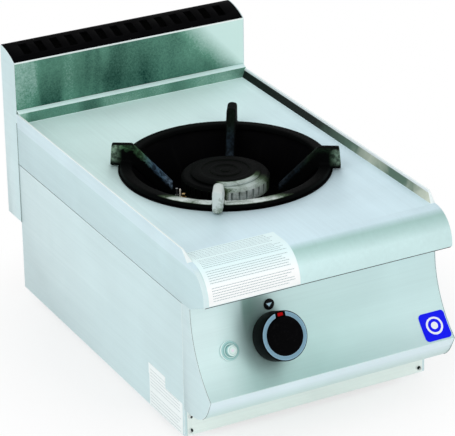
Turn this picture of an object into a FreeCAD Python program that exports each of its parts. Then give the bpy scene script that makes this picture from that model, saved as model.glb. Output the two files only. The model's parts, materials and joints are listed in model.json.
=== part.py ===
import FreeCAD, Part
import math
import os
import re
import Sketcher

# A countertop gas wok range: a narrow stainless casing with a flue at its back, a raised worktop
# with a round well, a cast pan support, a burner and its gas train, one tap and one spark button.
#
# The casing frame: X to the right, Y to the back, Z up. X = 0 is the middle, Y = 0 the front edge of
# the side panels, Z = 0 their underside. Each sub-part is drawn there or in the frame of its own
# seat, and its Placement then moves it to the frame of the whole, whose origin is on the floor.

DOC = FreeCAD.newDocument("wok_range")
SIZES = DOC.addObject("Spreadsheet::Sheet", "Sizes")

DRIVING = {
    # casing
    "unit_width": 400, "body_depth": 552, "seam_height": 212, "seam_gap": 1,
    "casing_sheet": 1.2, "edge_flange": 18, "floor_flange": 42, "hole_play": 0.2, "screw_play": 0.1,
    # feet
    "foot_height": 8, "foot_radius": 17, "foot_web": 3, "foot_nut": 5, "foot_side_inset": 24,
    "foot_end_inset": 60,
    "foot_bolt_radius": 3, "foot_bolt_head": 6, "foot_bolt_head_height": 4, "foot_head_room": 0.5,
    # base strip and its screws
    "strip_height": 58, "strip_inset": 4.5, "strip_screw_inset": 9.5,
    "strip_screw_low": 7, "strip_screw_high": 31, "screw_radius": 2, "screw_head_radius": 4,
    "screw_head_height": 2.2, "screw_length": 9,
    # control panel: a hollow arc, a crease, a slanting lip and a rolled underside
    "panel_setback": 22.5, "panel_top": 258, "panel_arc_top": 215, "panel_arc_radius": 160,
    "crease_height": 91.6, "lip_slant": 20, "lip_lean": 26, "lip_radius": 50, "lip_fall": 4,
    "panel_hem": 13,
    # worktop
    "deck_height": 281, "deck_sheet": 1.5, "nose_reach": 67, "nose_radius": 46, "nose_lip": 3,
    "nose_clearance": 1, "rim_height": 15, "rim_crest": 3, "rim_foot": 8, "rim_start": 4,
    "rim_slant": 16, "upstand_height": 17, "ledge_depth": 8, "ledge_rise": 4,
    # flue
    "flue_depth": 50, "flue_front_rise": 98, "flue_back_rise": 113, "flue_bottom": 112,
    "cap_arc_radius": 100, "cap_sheet": 1.5, "cap_hem": 14, "cap_slot_width": 13,
    "cap_slot_pitch": 26, "cap_slot_length": 26, "cap_slot_count": 14,
    "flue_window_half_width": 150, "flue_window_drop": 14, "flue_window_height": 73,
    # back and bottom sheets
    "back_gap": 2, "louvre_length": 60, "louvre_height": 7, "louvre_pitch": 18, "louvre_low": 66,
    "vent_length": 60, "vent_width": 8, "vent_pitch": 20,
    # burner well
    "burner_back": 243, "well_hole_radius": 152, "well_flange_radius": 159, "well_sheet": 1.5,
    "well_mouth_radius": 149, "well_floor_radius": 118, "well_depth": 74, "well_throat": 64,
    "pilot_notch_reach": 96, "pilot_notch_half_width": 19,
    # cast pan support
    "support_outer_radius": 157, "support_inner_radius": 138, "support_thickness": 8,
    "support_turn": -32, "arm_thickness": 15, "arm_reach": 168, "arm_height": 34,
    "arm_land": 30, "arm_inner_radius": 78, "arm_drop": 62, "arm_tip": 16, "arm_rounding": 5,
    "arm_draft": 3, "arm_root": 1, "ring_draft": 2,
    "seat_clearance": 0.3,
    # burner
    "burner_base_drop": 131, "burner_seat_drop": 33, "burner_radius": 56, "burner_wall": 5,
    "crown_radius": 66, "crown_height": 24, "crown_bore": 40, "crown_spigot": 50.7,
    "crown_ports": 36, "port_width": 3, "port_depth": 4, "port_height": 14, "crown_chamfer": 4,
    "crown_spigot_depth": 8, "cap_spigot_depth": 4, "cap_play": 0.4, "mixer_rim": 4,
    "jet_nose_length": 16, "shutter_hole_radius": 4,
    "cap_disc_radius": 52, "cap_disc_thickness": 6, "mixer_drop": 105, "mixer_radius": 16,
    "mixer_bore": 12, "mixer_length": 116, "mixer_mouth": 24, "mixer_mouth_length": 22,
    # burner beam
    "beam_half_width": 34, "beam_sheet": 3, "beam_flange": 18,
    # gas train
    "pipe_radius": 8.6, "pipe_bore": 6.3, "pipe_bend": 22, "inlet_inset": 50,
    "inlet_height": 70, "manifold_back": 40, "thread_radius": 10.48, "thread_length": 20,
    "inlet_hex_radius": 15, "inlet_hex_length": 9, "inlet_collar_radius": 12,
    "inlet_collar_length": 5, "feed_radius": 5, "pilot_feed_radius": 2, "lead_radius": 1.5,
    "feed_bend": 14, "lane_drop": 113, "pilot_lane_inset": 83, "lane_pitch": 12,
    "lane_bend": 9, "jet_radius": 6, "jet_hexagon": 12, "shutter_radius": 21, "shutter_thickness": 2,
    # pilot group
    "pilot_across": -76, "pilot_spread": 11, "pilot_radius": 4, "pilot_drop": 27,
    "spark_drop": 19, "probe_drop": 22, "spark_sleeve_radius": 2.5, "probe_radius": 2.4,
    "pilot_plate_drop": 55, "pilot_plate_sheet": 2, "stem_drop": 12, "pilot_nozzle": 5,
    "spark_wire": 16, "probe_tip": 10,
    # tap and knob
    "tap_inset": 121, "tap_height": 146, "tap_hole_radius": 6.5, "tap_body_radius": 17,
    "tap_body_top": 11, "tap_body_length": 58, "tap_wall": 8, "tap_neck": 12, "plug_gap": 1,
    "tap_port_radius": 11, "tap_inlet_reach": 27,
    "tap_outlet_reach": 24, "tap_outlet_depth": 40, "spindle_radius": 4, "spindle_fit": 0.05,
    "plug_radius": 9, "plug_length": 26, "knob_radius": 35.5, "knob_height": 33,
    "knob_standoff": 9, "knob_rounding": 1.2, "knob_face_radius": 27.5, "knob_face_rise": 3,
    "knob_ring_outer": 34, "knob_ring_depth": 0.5, "knob_mark_width": 8,
    "knob_push": 4, "knob_socket": 20, "knob_foot_chamfer": 2, "knob_face_step": 0.8,
    "knob_ring_gap": 0.6, "knob_mark_inset": 1,
    # index disc
    "index_inset": 124, "index_drop": 22, "index_radius": 8.2, "index_thickness": 1,
    "index_triangle": 4.6, "index_inlay": 0.3,
    # spark button
    "spark_inset": 52, "spark_height": 142, "spark_flange_radius": 14.5,
    "spark_flange_height": 3.5, "spark_collar_radius": 10.5, "spark_collar_height": 1.6,
    "button_radius": 8, "button_rise": 12.5, "button_fit": 0.1, "button_travel": 4.5,
    "button_core_radius": 3, "spark_body_radius": 9, "spark_body_length": 42,
    "spark_nut_radius": 13, "spark_nut_thickness": 5, "spark_flange_bevel": 1.1,
    "button_room": 1, "button_edge": 1.5, "button_skin": 2,
    # labels
    "label_thickness": 0.25, "label_foot": 1, "nose_label_inset": 8, "nose_label_width": 143,
    "nose_label_back": 10, "plate_front": 4, "plate_length": 104, "plate_low": 1,
    "plate_height": 50, "tag_front": 57, "tag_length": 53, "tag_height": 18,
    "badge_inset": 24.5, "badge_height": 108.5, "badge_width": 43, "badge_length": 42,
    "badge_corner": 6,
}
# Places that hang from the worktop or stand in from a side, spelled out in the driving sizes.
DERIVED = {
    "burner_base": "(deck_height - burner_base_drop)", "burner_seat": "(deck_height - burner_seat_drop)",
    "mixer_height": "(deck_height - mixer_drop)", "lane_height": "(deck_height - lane_drop)",
    "pilot_top": "(deck_height - pilot_drop)", "spark_top": "(deck_height - spark_drop)",
    "probe_top": "(deck_height - probe_drop)", "pilot_plate_height": "(deck_height - pilot_plate_drop)",
    "flue_front_height": "(deck_height + flue_front_rise)",
    "flue_back_height": "(deck_height + flue_back_rise)",
    "flue_window_high": "(seam_height - flue_window_drop)",
    "flue_window_low": "(seam_height - flue_window_drop - flue_window_height)",
    "index_height": "(seam_height - index_drop)",
    "inlet_across": "(unit_width / 2 - inlet_inset)", "tap_across": "(tap_inset - unit_width / 2)",
    "index_across": "(index_inset - unit_width / 2)", "spark_across": "(spark_inset - unit_width / 2)",
    "badge_across": "(unit_width / 2 - badge_inset)",
    "nose_label_left": "(nose_label_inset - unit_width / 2)",
    "pilot_lane": "(pilot_lane_inset - unit_width / 2)",
}
# How far the casing frame is moved to the back, worked out last from the whole's own extent.
SHIFT = "origin_shift"

for row, (alias, number) in enumerate((DRIVING | {SHIFT: 0}).items(), 1):
    SIZES.set(f"A{row}", alias)
    SIZES.set(f"B{row}", str(number))
    SIZES.setAlias(f"B{row}", alias)
DOC.recompute()

SUB_PARTS = []

# Places worked out from the driving sizes.
HALF = "(unit_width / 2)"
INNER = "(unit_width / 2 - casing_sheet)"
FLUE_BACK = "(body_depth + flue_depth)"
DECK_UNDERSIDE = "(deck_height - deck_sheet)"
NOSE_LOW = "(deck_height - nose_radius - nose_lip)"
NOSE_START = "(nose_radius - nose_reach)"
ARC_BACK = "(0 - panel_setback)"
ARC_CENTRE = "(0 - panel_setback - panel_arc_radius)"
CREASE_FALL = "asin((panel_arc_top - crease_height) / panel_arc_radius)"
CREASE_FRONT = f"({ARC_CENTRE} + panel_arc_radius * cos({CREASE_FALL}))"
SLANT_FRONT = f"({CREASE_FRONT} + lip_slant * sin(lip_lean))"
SLANT_LOW = "(crease_height - lip_slant * cos(lip_lean))"
LIP_CENTRE = f"({SLANT_FRONT} + lip_radius * cos(lip_lean))"
LIP_MIDDLE = f"({SLANT_LOW} + lip_radius * sin(lip_lean))"
ROLL_FRONT = f"({LIP_CENTRE} - lip_radius * sin(lip_fall))"
ROLL_LOW = f"({LIP_MIDDLE} - lip_radius * cos(lip_fall))"
HEM_FRONT = "(0 - casing_sheet)"
HEM_LOW = f"({ROLL_LOW} - ({HEM_FRONT} - {ROLL_FRONT}) * tan(lip_fall))"


def spelled_out(text):
    """An expression with each derived place written in the driving sizes."""
    return re.sub(r"[a-z_]{4,}", lambda found: DERIVED.get(found[0], found[0]), str(text))


def value(text):
    """The number that an expression in the sheet's aliases has now."""
    number = SIZES.evalExpression(spelled_out(text))
    return number.Value if hasattr(number, "Value") else float(number)


def bound(text):
    """The expression as another object writes it, with the sheet's name before each alias."""
    def with_sheet(found):
        word = found[0]
        return "Sizes." + word if word in DRIVING or word == SHIFT else word
    return re.sub(r"[a-z_]{4,}", with_sheet, spelled_out(text))


def bind(thing, place, text):
    thing.setExpression(place, bound(text))


def lean_at(height):
    """How far the hollow control panel leans back at a height, in degrees."""
    return f"asin((panel_arc_top - {height}) / panel_arc_radius)"


def seat_on_panel(across, height):
    """Where a control sits on the control panel: its foot and the turn of its axis about X."""
    back = f"(0 - panel_setback - panel_arc_radius * (1 - cos({lean_at(height)})))"
    return (across, back, height), f"acos((panel_arc_top - {height}) / panel_arc_radius)"


def hollow_depth(radius):
    """How far the hollow panel stands in front of a control's foot at a radius from its axis."""
    return f"(panel_arc_radius - sqrt(panel_arc_radius^2 - {radius}^2))"


TAP_SEAT = seat_on_panel("tap_across", "tap_height")
SPARK_SEAT = seat_on_panel("spark_across", "spark_height")
INDEX_SEAT = seat_on_panel("index_across", "index_height")
BADGE_SEAT = seat_on_panel("badge_across", "badge_height")
BURNER_SEAT = (("0", "burner_back", "0"), None)


def locate(thing, spot=("0", "0", "0"), angle=None, axis=(1, 0, 0)):
    """Binds an object's Placement to a spot and to a turn about one axis."""
    if angle is not None:
        turn = FreeCAD.Rotation(FreeCAD.Vector(*axis), value(angle))
        thing.Placement = FreeCAD.Placement(FreeCAD.Vector(0, 0, 0), turn)
        bind(thing, "Placement.Rotation.Angle", angle)
    for letter, text in zip("xyz", spot):
        bind(thing, f"Placement.Base.{letter}", text)
    return thing


def sub_part(thing, label, seat=(("0", "0", "0"), None), axis=(1, 0, 0)):
    """Names a sub-part and moves it from the frame of its seat to the frame of the whole."""
    thing.Label = label
    (across, back, up), angle = seat
    locate(thing, (across, f"({back} + {SHIFT})", f"({up} + foot_height)"), angle, axis)
    SUB_PARTS.append(thing)
    return thing


def draw(drawing, corners, closed=True):
    """An outline through corners (across, up). A third text is the radius of the arc that reaches
    the corner: it bulges right of the way it runs, or left where the radius is negative."""
    spots = [FreeCAD.Vector(value(corner[0]), value(corner[1]), 0) for corner in corners]
    edges = []
    for index in range(0 if closed else 1, len(corners)):
        start, end = spots[index - 1], spots[index]
        if len(corners[index]) == 3:
            radius = value(corners[index][2])
            run = end - start
            sag = abs(radius) - math.sqrt(radius ** 2 - (run.Length / 2) ** 2)
            bulge = FreeCAD.Vector(run.y, -run.x, 0).normalize() * math.copysign(sag, radius)
            edge = drawing.addGeometry(Part.Arc(start, (start + end) / 2 + bulge, end), False)
            size = Sketcher.Constraint("Radius", edge, abs(radius))
            place = drawing.addConstraint(size)
            bind(drawing, f"Constraints[{place}]", f"abs({corners[index][2]})")
        else:
            edge = drawing.addGeometry(Part.LineSegment(start, end), False)
        tail = 1 if drawing.getPoint(edge, 1).distanceToPoint(start) < 1e-6 else 2
        edges.append((edge, tail, 3 - tail, index))
    for before, (edge, tail, head, index) in zip([edges[-1]] + edges[:-1], edges):
        if closed or before is not edges[-1]:
            drawing.addConstraint(Sketcher.Constraint("Coincident", before[0], before[2], edge, tail))
        else:
            pin(drawing, edge, tail, corners[index - 1])
        pin(drawing, edge, head, corners[index])


def pin(drawing, edge, point, corner):
    """Ties one point of a sketch to its place from the sketch's origin."""
    for kind, text in (("DistanceX", corner[0]), ("DistanceY", corner[1])):
        tie = drawing.addConstraint(Sketcher.Constraint(kind, -1, 1, edge, point, value(text)))
        bind(drawing, f"Constraints[{tie}]", text)


def draw_circle(drawing, across, up, radius):
    centre = FreeCAD.Vector(value(across), value(up), 0)
    normal = FreeCAD.Vector(0, 0, 1)
    edge = drawing.addGeometry(Part.Circle(centre, normal, value(radius)), False)
    pin(drawing, edge, 3, (across, up))
    size = drawing.addConstraint(Sketcher.Constraint("Radius", edge, value(radius)))
    bind(drawing, f"Constraints[{size}]", radius)


def rectangle(left, low, right, high):
    return [(left, low), (right, low), (right, high), (left, high)]


def new_body(name):
    return DOC.addObject("PartDesign::Body", name)


def sketch(body, plane, offset="0"):
    """A sketch on one of its body's origin planes, raised along the plane's normal."""
    drawing = body.newObject("Sketcher::SketchObject", body.Name + "_sketch")
    support = next(item for item in body.Origin.OriginFeatures if item.Role == plane)
    drawing.AttachmentSupport = (support, [""])
    drawing.MapMode = "FlatFace"
    bind(drawing, "AttachmentOffset.Base.z", offset)
    return drawing


def pad(body, drawing, length):
    feature = body.newObject("PartDesign::Pad", body.Name + "_pad")
    feature.Profile = drawing
    bind(feature, "Length", length)
    return feature


def pocket(body, drawing):
    """A pocket through everything on both sides of its sketch."""
    feature = body.newObject("PartDesign::Pocket", body.Name + "_pocket")
    feature.Profile = drawing
    feature.Type = "ThroughAll"
    feature.Midplane = True
    return feature


def pierce(body, drawing):
    """A pocket through the one sheet that its sketch lies in."""
    feature = body.newObject("PartDesign::Pocket", body.Name + "_holes")
    feature.Profile = drawing
    feature.Midplane = True
    bind(feature, "Length", "4 * casing_sheet")


def pattern_along(body, feature, role, length, count):
    """Repeats a feature along an origin axis of its body."""
    row = body.newObject("PartDesign::LinearPattern", body.Name + "_row")
    row.Originals = [feature]
    row.Direction = (next(item for item in body.Origin.OriginFeatures if item.Role == role), [""])
    bind(row, "Length", length)
    bind(row, "Occurrences", count)
    body.Tip = row
    return row


def turned(name, corners):
    """A body turned about Z from an outline of (radius, height)."""
    body = new_body(name)
    drawing = sketch(body, "XZ_Plane")
    draw(drawing, corners)
    feature = body.newObject("PartDesign::Revolution", name + "_turn")
    feature.Profile = drawing
    feature.ReferenceAxis = (drawing, ["V_Axis"])
    feature.Angle = 360
    return body


def rod(name, radius, low, high):
    """A round bar along Z from one height to another."""
    return turned(name, rectangle("0", low, radius, high))


def slab(name, plane, offset, length, corners):
    """A plate of one thickness from one outline on a plane."""
    body = new_body(name)
    drawing = sketch(body, plane, offset)
    draw(drawing, corners)
    pad(body, drawing, length)
    return body


def cylinder(name, radius, height, spot=("0", "0", "0"), angle=None, axis=(1, 0, 0)):
    solid = DOC.addObject("Part::Cylinder", name)
    bind(solid, "Radius", radius)
    bind(solid, "Height", height)
    return locate(solid, spot, angle, axis)


def hexagon(name, radius, height, spot=("0", "0", "0"), angle=None, axis=(1, 0, 0)):
    solid = DOC.addObject("Part::Prism", name)
    solid.Polygon = 6
    bind(solid, "Circumradius", radius)
    bind(solid, "Height", height)
    return locate(solid, spot, angle, axis)


def box(name, low, size):
    solid = DOC.addObject("Part::Box", name)
    for side, text in zip(("Length", "Width", "Height"), size):
        bind(solid, side, text)
    return locate(solid, low)


def fuse(name, pieces):
    solid = DOC.addObject("Part::MultiFuse", name)
    solid.Shapes = pieces
    return solid


def group(name, pieces):
    """Like pieces that share one node, each still a solid of its own."""
    solid = DOC.addObject("Part::Compound", name)
    solid.Links = pieces
    return solid


def cut(name, base, tool):
    solid = DOC.addObject("Part::Cut", name)
    solid.Base = base
    solid.Tool = tool
    return solid


def common(name, base, tool):
    solid = DOC.addObject("Part::Common", name)
    solid.Base = base
    solid.Tool = tool
    return solid


def folded(name, corners, thickness, left, length):
    """Sheet metal folded along a path of (back, up) and as long across as the length. A positive
    thickness lies right of the path."""
    path = DOC.addObject("Sketcher::SketchObject", name + "_path")
    path.Placement = FreeCAD.Placement(FreeCAD.Vector(0, 0, 0),
                                       FreeCAD.Rotation(FreeCAD.Vector(1, 1, 1), 120))
    draw(path, corners, closed=False)
    section = DOC.addObject("Part::Offset2D", name + "_section")
    section.Source = path
    section.Mode = "Skin"
    section.Join = "Intersection"
    section.Fill = True
    bind(section, "Value", thickness)
    run = DOC.addObject("Part::Extrusion", name + "_run")
    run.Base = section
    run.DirMode = "Custom"
    run.Dir = FreeCAD.Vector(1, 0, 0)
    run.Solid = True
    bind(run, "LengthFwd", length)
    return locate(run, (left, "0", "0"))


def tube(label, spots, radius, bend, bore="0"):
    """A pipe along straight runs and tangent bends, set from the sheet's sizes."""
    points = [FreeCAD.Vector(*[value(text) for text in spot]) for spot in spots]
    edges = []
    start = points[0]
    for before, corner, after in zip(points, points[1:], points[2:]):
        into = (before - corner).normalize()
        out = (after - corner).normalize()
        half = into.getAngle(out) / 2
        reach = value(bend) / math.tan(half)
        middle = corner + (into + out).normalize() * (value(bend) / math.sin(half) - value(bend))
        edges.append(Part.LineSegment(start, corner + into * reach).toShape())
        edges.append(Part.Arc(corner + into * reach, middle, corner + out * reach).toShape())
        start = corner + out * reach
    edges.append(Part.LineSegment(start, points[-1]).toShape())
    spine = Part.Wire(edges)
    heading = points[1] - points[0]
    skin = spine.makePipeShell([Part.Wire(Part.makeCircle(value(radius), points[0], heading))],
                               True, True)
    if value(bore) > 0:
        inside = Part.Wire(Part.makeCircle(value(bore), points[0], heading))
        skin = skin.cut(spine.makePipeShell([inside], True, True))
    pipe = DOC.addObject("Part::Feature", label)
    pipe.Shape = skin
    return sub_part(pipe, label)


# ---------------------------------------------------------------- casing

def side_panel(side, label):
    """A channel-shaped side with a folded flange all round."""
    plan = [(f"{side} * {HALF}", "0"), (f"{side} * {HALF}", "body_depth"),
            (f"{side} * ({HALF} - edge_flange)", "body_depth"),
            (f"{side} * ({HALF} - edge_flange)", "body_depth - casing_sheet"),
            (f"{side} * {INNER}", "body_depth - casing_sheet"), (f"{side} * {INNER}", "casing_sheet"),
            (f"{side} * ({HALF} - edge_flange)", "casing_sheet"),
            (f"{side} * ({HALF} - edge_flange)", "0")]
    body = slab(label, "XY_Plane", "0", "seam_height - seam_gap", plan)
    for offset, reach in (("0", "floor_flange"),
                          ("seam_height - seam_gap - casing_sheet", "edge_flange")):
        flange = sketch(body, "XY_Plane", offset)
        draw(flange, rectangle(f"{side} * {HALF}", "0", f"{side} * ({HALF} - {reach})", "body_depth"))
        pad(body, flange, "casing_sheet")
    holes = sketch(body, "XY_Plane", "casing_sheet / 2")
    for back in ("foot_end_inset", "body_depth - foot_end_inset"):
        draw_circle(holes, f"{side} * ({HALF} - foot_side_inset)", back, "foot_bolt_radius + hole_play")
    pierce(body, holes)
    screws = sketch(body, "XZ_Plane", "0 - casing_sheet / 2")
    for up in ("strip_screw_low", "strip_screw_high"):
        draw_circle(screws, f"{side} * ({HALF} - strip_screw_inset)", up, "screw_radius + screw_play")
    pierce(body, screws)
    sub_part(body, label)


def bolt_spots():
    """Where the feet are bolted: across and back."""
    return [(f"{side} * ({HALF} - foot_side_inset)", back)
            for side in (-1, 1) for back in ("foot_end_inset", "(body_depth - foot_end_inset)")]


def base_tray():
    """The bottom sheet, on the side panels' floor flanges, with two rows of air vents."""
    body = slab("base_tray", "XY_Plane", "casing_sheet", "casing_sheet",
                rectangle(f"0 - ({INNER} - seat_clearance)", "casing_sheet + seat_clearance",
                          f"{INNER} - seat_clearance", "body_depth - 2 * casing_sheet - back_gap"))
    edge = sketch(body, "XY_Plane", "casing_sheet")
    draw(edge, rectangle(f"0 - ({HALF} - edge_flange - back_gap)", "casing_sheet + seat_clearance",
                         f"{HALF} - edge_flange - back_gap", "2 * casing_sheet + seat_clearance"))
    pad(body, edge, "edge_flange")
    bolts = sketch(body, "XY_Plane", "casing_sheet")
    for across, back in bolt_spots():
        draw_circle(bolts, across, back, "foot_bolt_radius + hole_play")
    pocket(body, bolts)
    vents = sketch(body, "XY_Plane", "casing_sheet")
    for side in (-1, 1):
        draw(vents, rectangle(f"{side} * vent_width", "burner_back - 3 * vent_pitch",
                              f"{side} * (vent_width + vent_length)",
                              "burner_back - 3 * vent_pitch + vent_width"))
    pattern_along(body, pocket(body, vents), "Y_Axis", "6 * vent_pitch", "7")
    sub_part(body, "base_tray")


def upright_slab(name, back, thickness, corners):
    """A plate across the casing whose rear face is at a given back, from an outline of
    (across, up)."""
    return slab(name, "XZ_Plane", f"0 - {back}", thickness, corners)


def back_panel():
    """The sheet behind the burner space: a window to the flue, louvres and the gas pipe's hole."""
    body = upright_slab("back_panel", "(body_depth - casing_sheet)", "casing_sheet",
                        rectangle(f"0 - ({INNER} - seat_clearance)", "2 * casing_sheet + seat_clearance",
                                  f"{INNER} - seat_clearance", "seam_height - seam_gap - 2 * casing_sheet"))
    openings = sketch(body, "XZ_Plane", "0 - (body_depth - casing_sheet)")
    draw(openings, rectangle("0 - flue_window_half_width", "flue_window_low",
                             "flue_window_half_width", "flue_window_high"))
    draw_circle(openings, "inlet_across", "inlet_height", "inlet_collar_radius + hole_play")
    pocket(body, openings)
    louvre = sketch(body, "XZ_Plane", "0 - (body_depth - casing_sheet)")
    for start in ("0 - 2.2 * louvre_length", "0 - 0.8 * louvre_length"):
        draw(louvre, rectangle(start, "louvre_low - 2 * louvre_pitch",
                               f"{start} + louvre_length", "louvre_low - 2 * louvre_pitch + louvre_height"))
    pattern_along(body, pocket(body, louvre), "Z_Axis", "3 * louvre_pitch", "4")
    sub_part(body, "back_panel")


def pan_screw(name, spot, angle=None, axis=(1, 0, 0)):
    """A screw whose head stands up from its seat at Z = 0 and whose shank goes down."""
    head = DOC.addObject("Part::Cone", name + "_head")
    bind(head, "Radius1", "screw_head_radius")
    bind(head, "Radius2", "0.65 * screw_head_radius")
    bind(head, "Height", "screw_head_height")
    shank = cylinder(name + "_shank", "screw_radius", "screw_length", ("0", "0", "0 - screw_length"))
    socket = hexagon(name + "_socket", "0.42 * screw_head_radius", "screw_head_height",
                     ("0", "0", "0.4 * screw_head_height"))
    solid = cut(name, fuse(name + "_blank", [head, shank]), socket)
    return locate(solid, spot, angle, axis)


def strip_screw_spots():
    return [(f"{side} * ({HALF} - strip_screw_inset)", up)
            for side in (-1, 1) for up in ("strip_screw_low", "strip_screw_high")]


def base_strip():
    """The plain strip under the control panel, screwed to the side panels' front flanges."""
    body = upright_slab("base_strip", "0", "casing_sheet",
                        rectangle(f"0 - ({HALF} - strip_inset)", "0",
                                  f"{HALF} - strip_inset", "strip_height"))
    holes = sketch(body, "XZ_Plane", "0")
    for across, up in strip_screw_spots():
        draw_circle(holes, across, up, "screw_radius + screw_play")
    pocket(body, holes)
    sub_part(body, "base_strip")
    screws = [pan_screw(f"strip_screw_{index}", (across, "0 - casing_sheet", up), "90")
              for index, (across, up) in enumerate(strip_screw_spots(), 1)]
    sub_part(group("base_strip_screws", screws), "base_strip_screws")


def feet():
    """Low rubber feet, each with the bolt that holds it to the casing's floor."""
    pads = []
    bolts = []
    for index, (across, back) in enumerate(bolt_spots(), 1):
        name = f"foot_{index}"
        blank = cylinder(name + "_blank", "foot_radius", "foot_height")
        bore = cylinder(name + "_bore", "foot_bolt_radius + hole_play", "foot_height")
        well = cylinder(name + "_well", "foot_bolt_head + foot_head_room", "foot_height - foot_web")
        rubber = cut(name, blank, fuse(name + "_hollow", [bore, well]))
        pads.append(locate(rubber, (across, back, "0 - foot_height")))
        head = hexagon(name + "_bolt_head", "foot_bolt_head", "foot_bolt_head_height",
                       ("0", "0", "0 - foot_web - foot_bolt_head_height"))
        shank = cylinder(name + "_bolt_shank", "foot_bolt_radius",
                         "foot_web + 2 * casing_sheet + 1.4 * foot_nut", ("0", "0", "0 - foot_web"))
        nut = hexagon(name + "_nut", "foot_bolt_head", "foot_nut", ("0", "0", "2 * casing_sheet"))
        bolts.append(locate(fuse(name + "_bolt", [head, shank, nut]), (across, back, "0")))
    sub_part(group("feet", pads), "feet")
    sub_part(group("foot_bolts", bolts), "foot_bolts")


PANEL_FACE = [(ARC_BACK, "panel_arc_top"), (CREASE_FRONT, "crease_height", "0 - panel_arc_radius"),
              (SLANT_FRONT, SLANT_LOW), (ROLL_FRONT, ROLL_LOW, "lip_radius")]


def control_panel():
    """The folded front sheet, pierced for the tap and the spark button."""
    path = ([(ARC_BACK, "panel_top")] + PANEL_FACE
            + [(HEM_FRONT, HEM_LOW), (HEM_FRONT, f"{HEM_LOW} + panel_hem")])
    sheet = folded("control_panel_sheet", path, "0 - casing_sheet", f"0 - {INNER}", f"2 * {INNER}")
    drills = []
    for name, seat, radius in (("tap_drill", TAP_SEAT, "tap_hole_radius"),
                               ("spark_drill", SPARK_SEAT, "spark_body_radius + seat_clearance")):
        drill = cylinder(name + "_bit", radius, "20 * casing_sheet", ("0", "0", "0 - 10 * casing_sheet"))
        drills.append(locate(group(name, [drill]), *seat))
    sub_part(cut("control_panel", sheet, fuse("panel_drills", drills)), "control_panel")


def panel_cheek(side, label):
    """The flat end of the control panel, flush with the side panel."""
    outline = ([("0", "seam_height"), (ARC_BACK, "seam_height")] + PANEL_FACE[1:]
               + [("0", f"{ROLL_LOW} - (0 - {ROLL_FRONT}) * tan(lip_fall)")])
    left = f"0 - {HALF}" if side < 0 else INNER
    # The arc starts below its top here, so its first corner lies on it at the seam's height.
    outline[1] = (f"{ARC_CENTRE} + sqrt(panel_arc_radius^2 - (panel_arc_top - seam_height)^2)",
                  "seam_height")
    sub_part(slab(label, "YZ_Plane", left, "casing_sheet", outline), label)


# ---------------------------------------------------------------- worktop

NOSE_TOP = (NOSE_START, "deck_height")
NOSE_SIDE = ("0 - nose_reach", "deck_height - nose_radius")
NOSE_FOOT = ("0 - nose_reach", NOSE_LOW)
NOSE_HEEL = (f"{ARC_BACK} - nose_clearance", "seam_height")


def worktop():
    """One welded top: deck, rolled nose, closed nose ends, side skirts, rims and rear upstand."""
    ledge_front = "body_depth - ledge_depth"
    ledge_low = "deck_height + upstand_height"
    path = [NOSE_HEEL, NOSE_FOOT, NOSE_SIDE, (*NOSE_TOP, "0 - nose_radius"),
            (ledge_front, "deck_height"), (ledge_front, ledge_low),
            ("body_depth - deck_sheet / 2", f"{ledge_low} + ledge_rise")]
    pieces = [folded("deck", path, "deck_sheet", f"0 - {INNER}", f"2 * {INNER}")]
    profile = [("body_depth", "seam_height"), ("body_depth", "deck_height + rim_height"),
               ("0 - rim_start", "deck_height + rim_height"),
               ("0 - rim_start - rim_slant", "deck_height"), NOSE_TOP,
               (*NOSE_SIDE, "nose_radius"), NOSE_FOOT, NOSE_HEEL]
    rim_side = [("body_depth", DECK_UNDERSIDE), ("body_depth", "deck_height + rim_height"),
                ("0 - rim_start", "deck_height + rim_height"),
                ("0 - rim_start - rim_slant", "deck_height"),
                ("0 - rim_start - rim_slant", DECK_UNDERSIDE)]
    for side, word in ((-1, "left"), (1, "right")):
        low_end = f"0 - {HALF}" if side < 0 else INNER
        pieces.append(slab(f"{word}_skirt", "YZ_Plane", low_end, "casing_sheet", profile))
        low_end = f"0 - {HALF}" if side < 0 else f"{HALF} - rim_foot"
        block = slab(f"{word}_rim_block", "YZ_Plane", low_end, "rim_foot", rim_side)
        wedge = [(f"{side} * {HALF}", DECK_UNDERSIDE), (f"{side} * {HALF}", "deck_height + rim_height"),
                 (f"{side} * ({HALF} - rim_crest)", "deck_height + rim_height"),
                 (f"{side} * ({HALF} - rim_foot)", "deck_height"),
                 (f"{side} * ({HALF} - rim_foot)", DECK_UNDERSIDE)]
        form = upright_slab(f"{word}_rim_form", "body_depth", "body_depth + nose_reach", wedge)
        pieces.append(common(f"{word}_rim", block, form))
    hole = cylinder("well_hole", "well_hole_radius", "4 * deck_sheet",
                    ("0", "burner_back", "deck_height - 3 * deck_sheet"))
    sub_part(cut("worktop", fuse("worktop_blank", pieces), hole), "worktop")


# ---------------------------------------------------------------- flue

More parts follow.
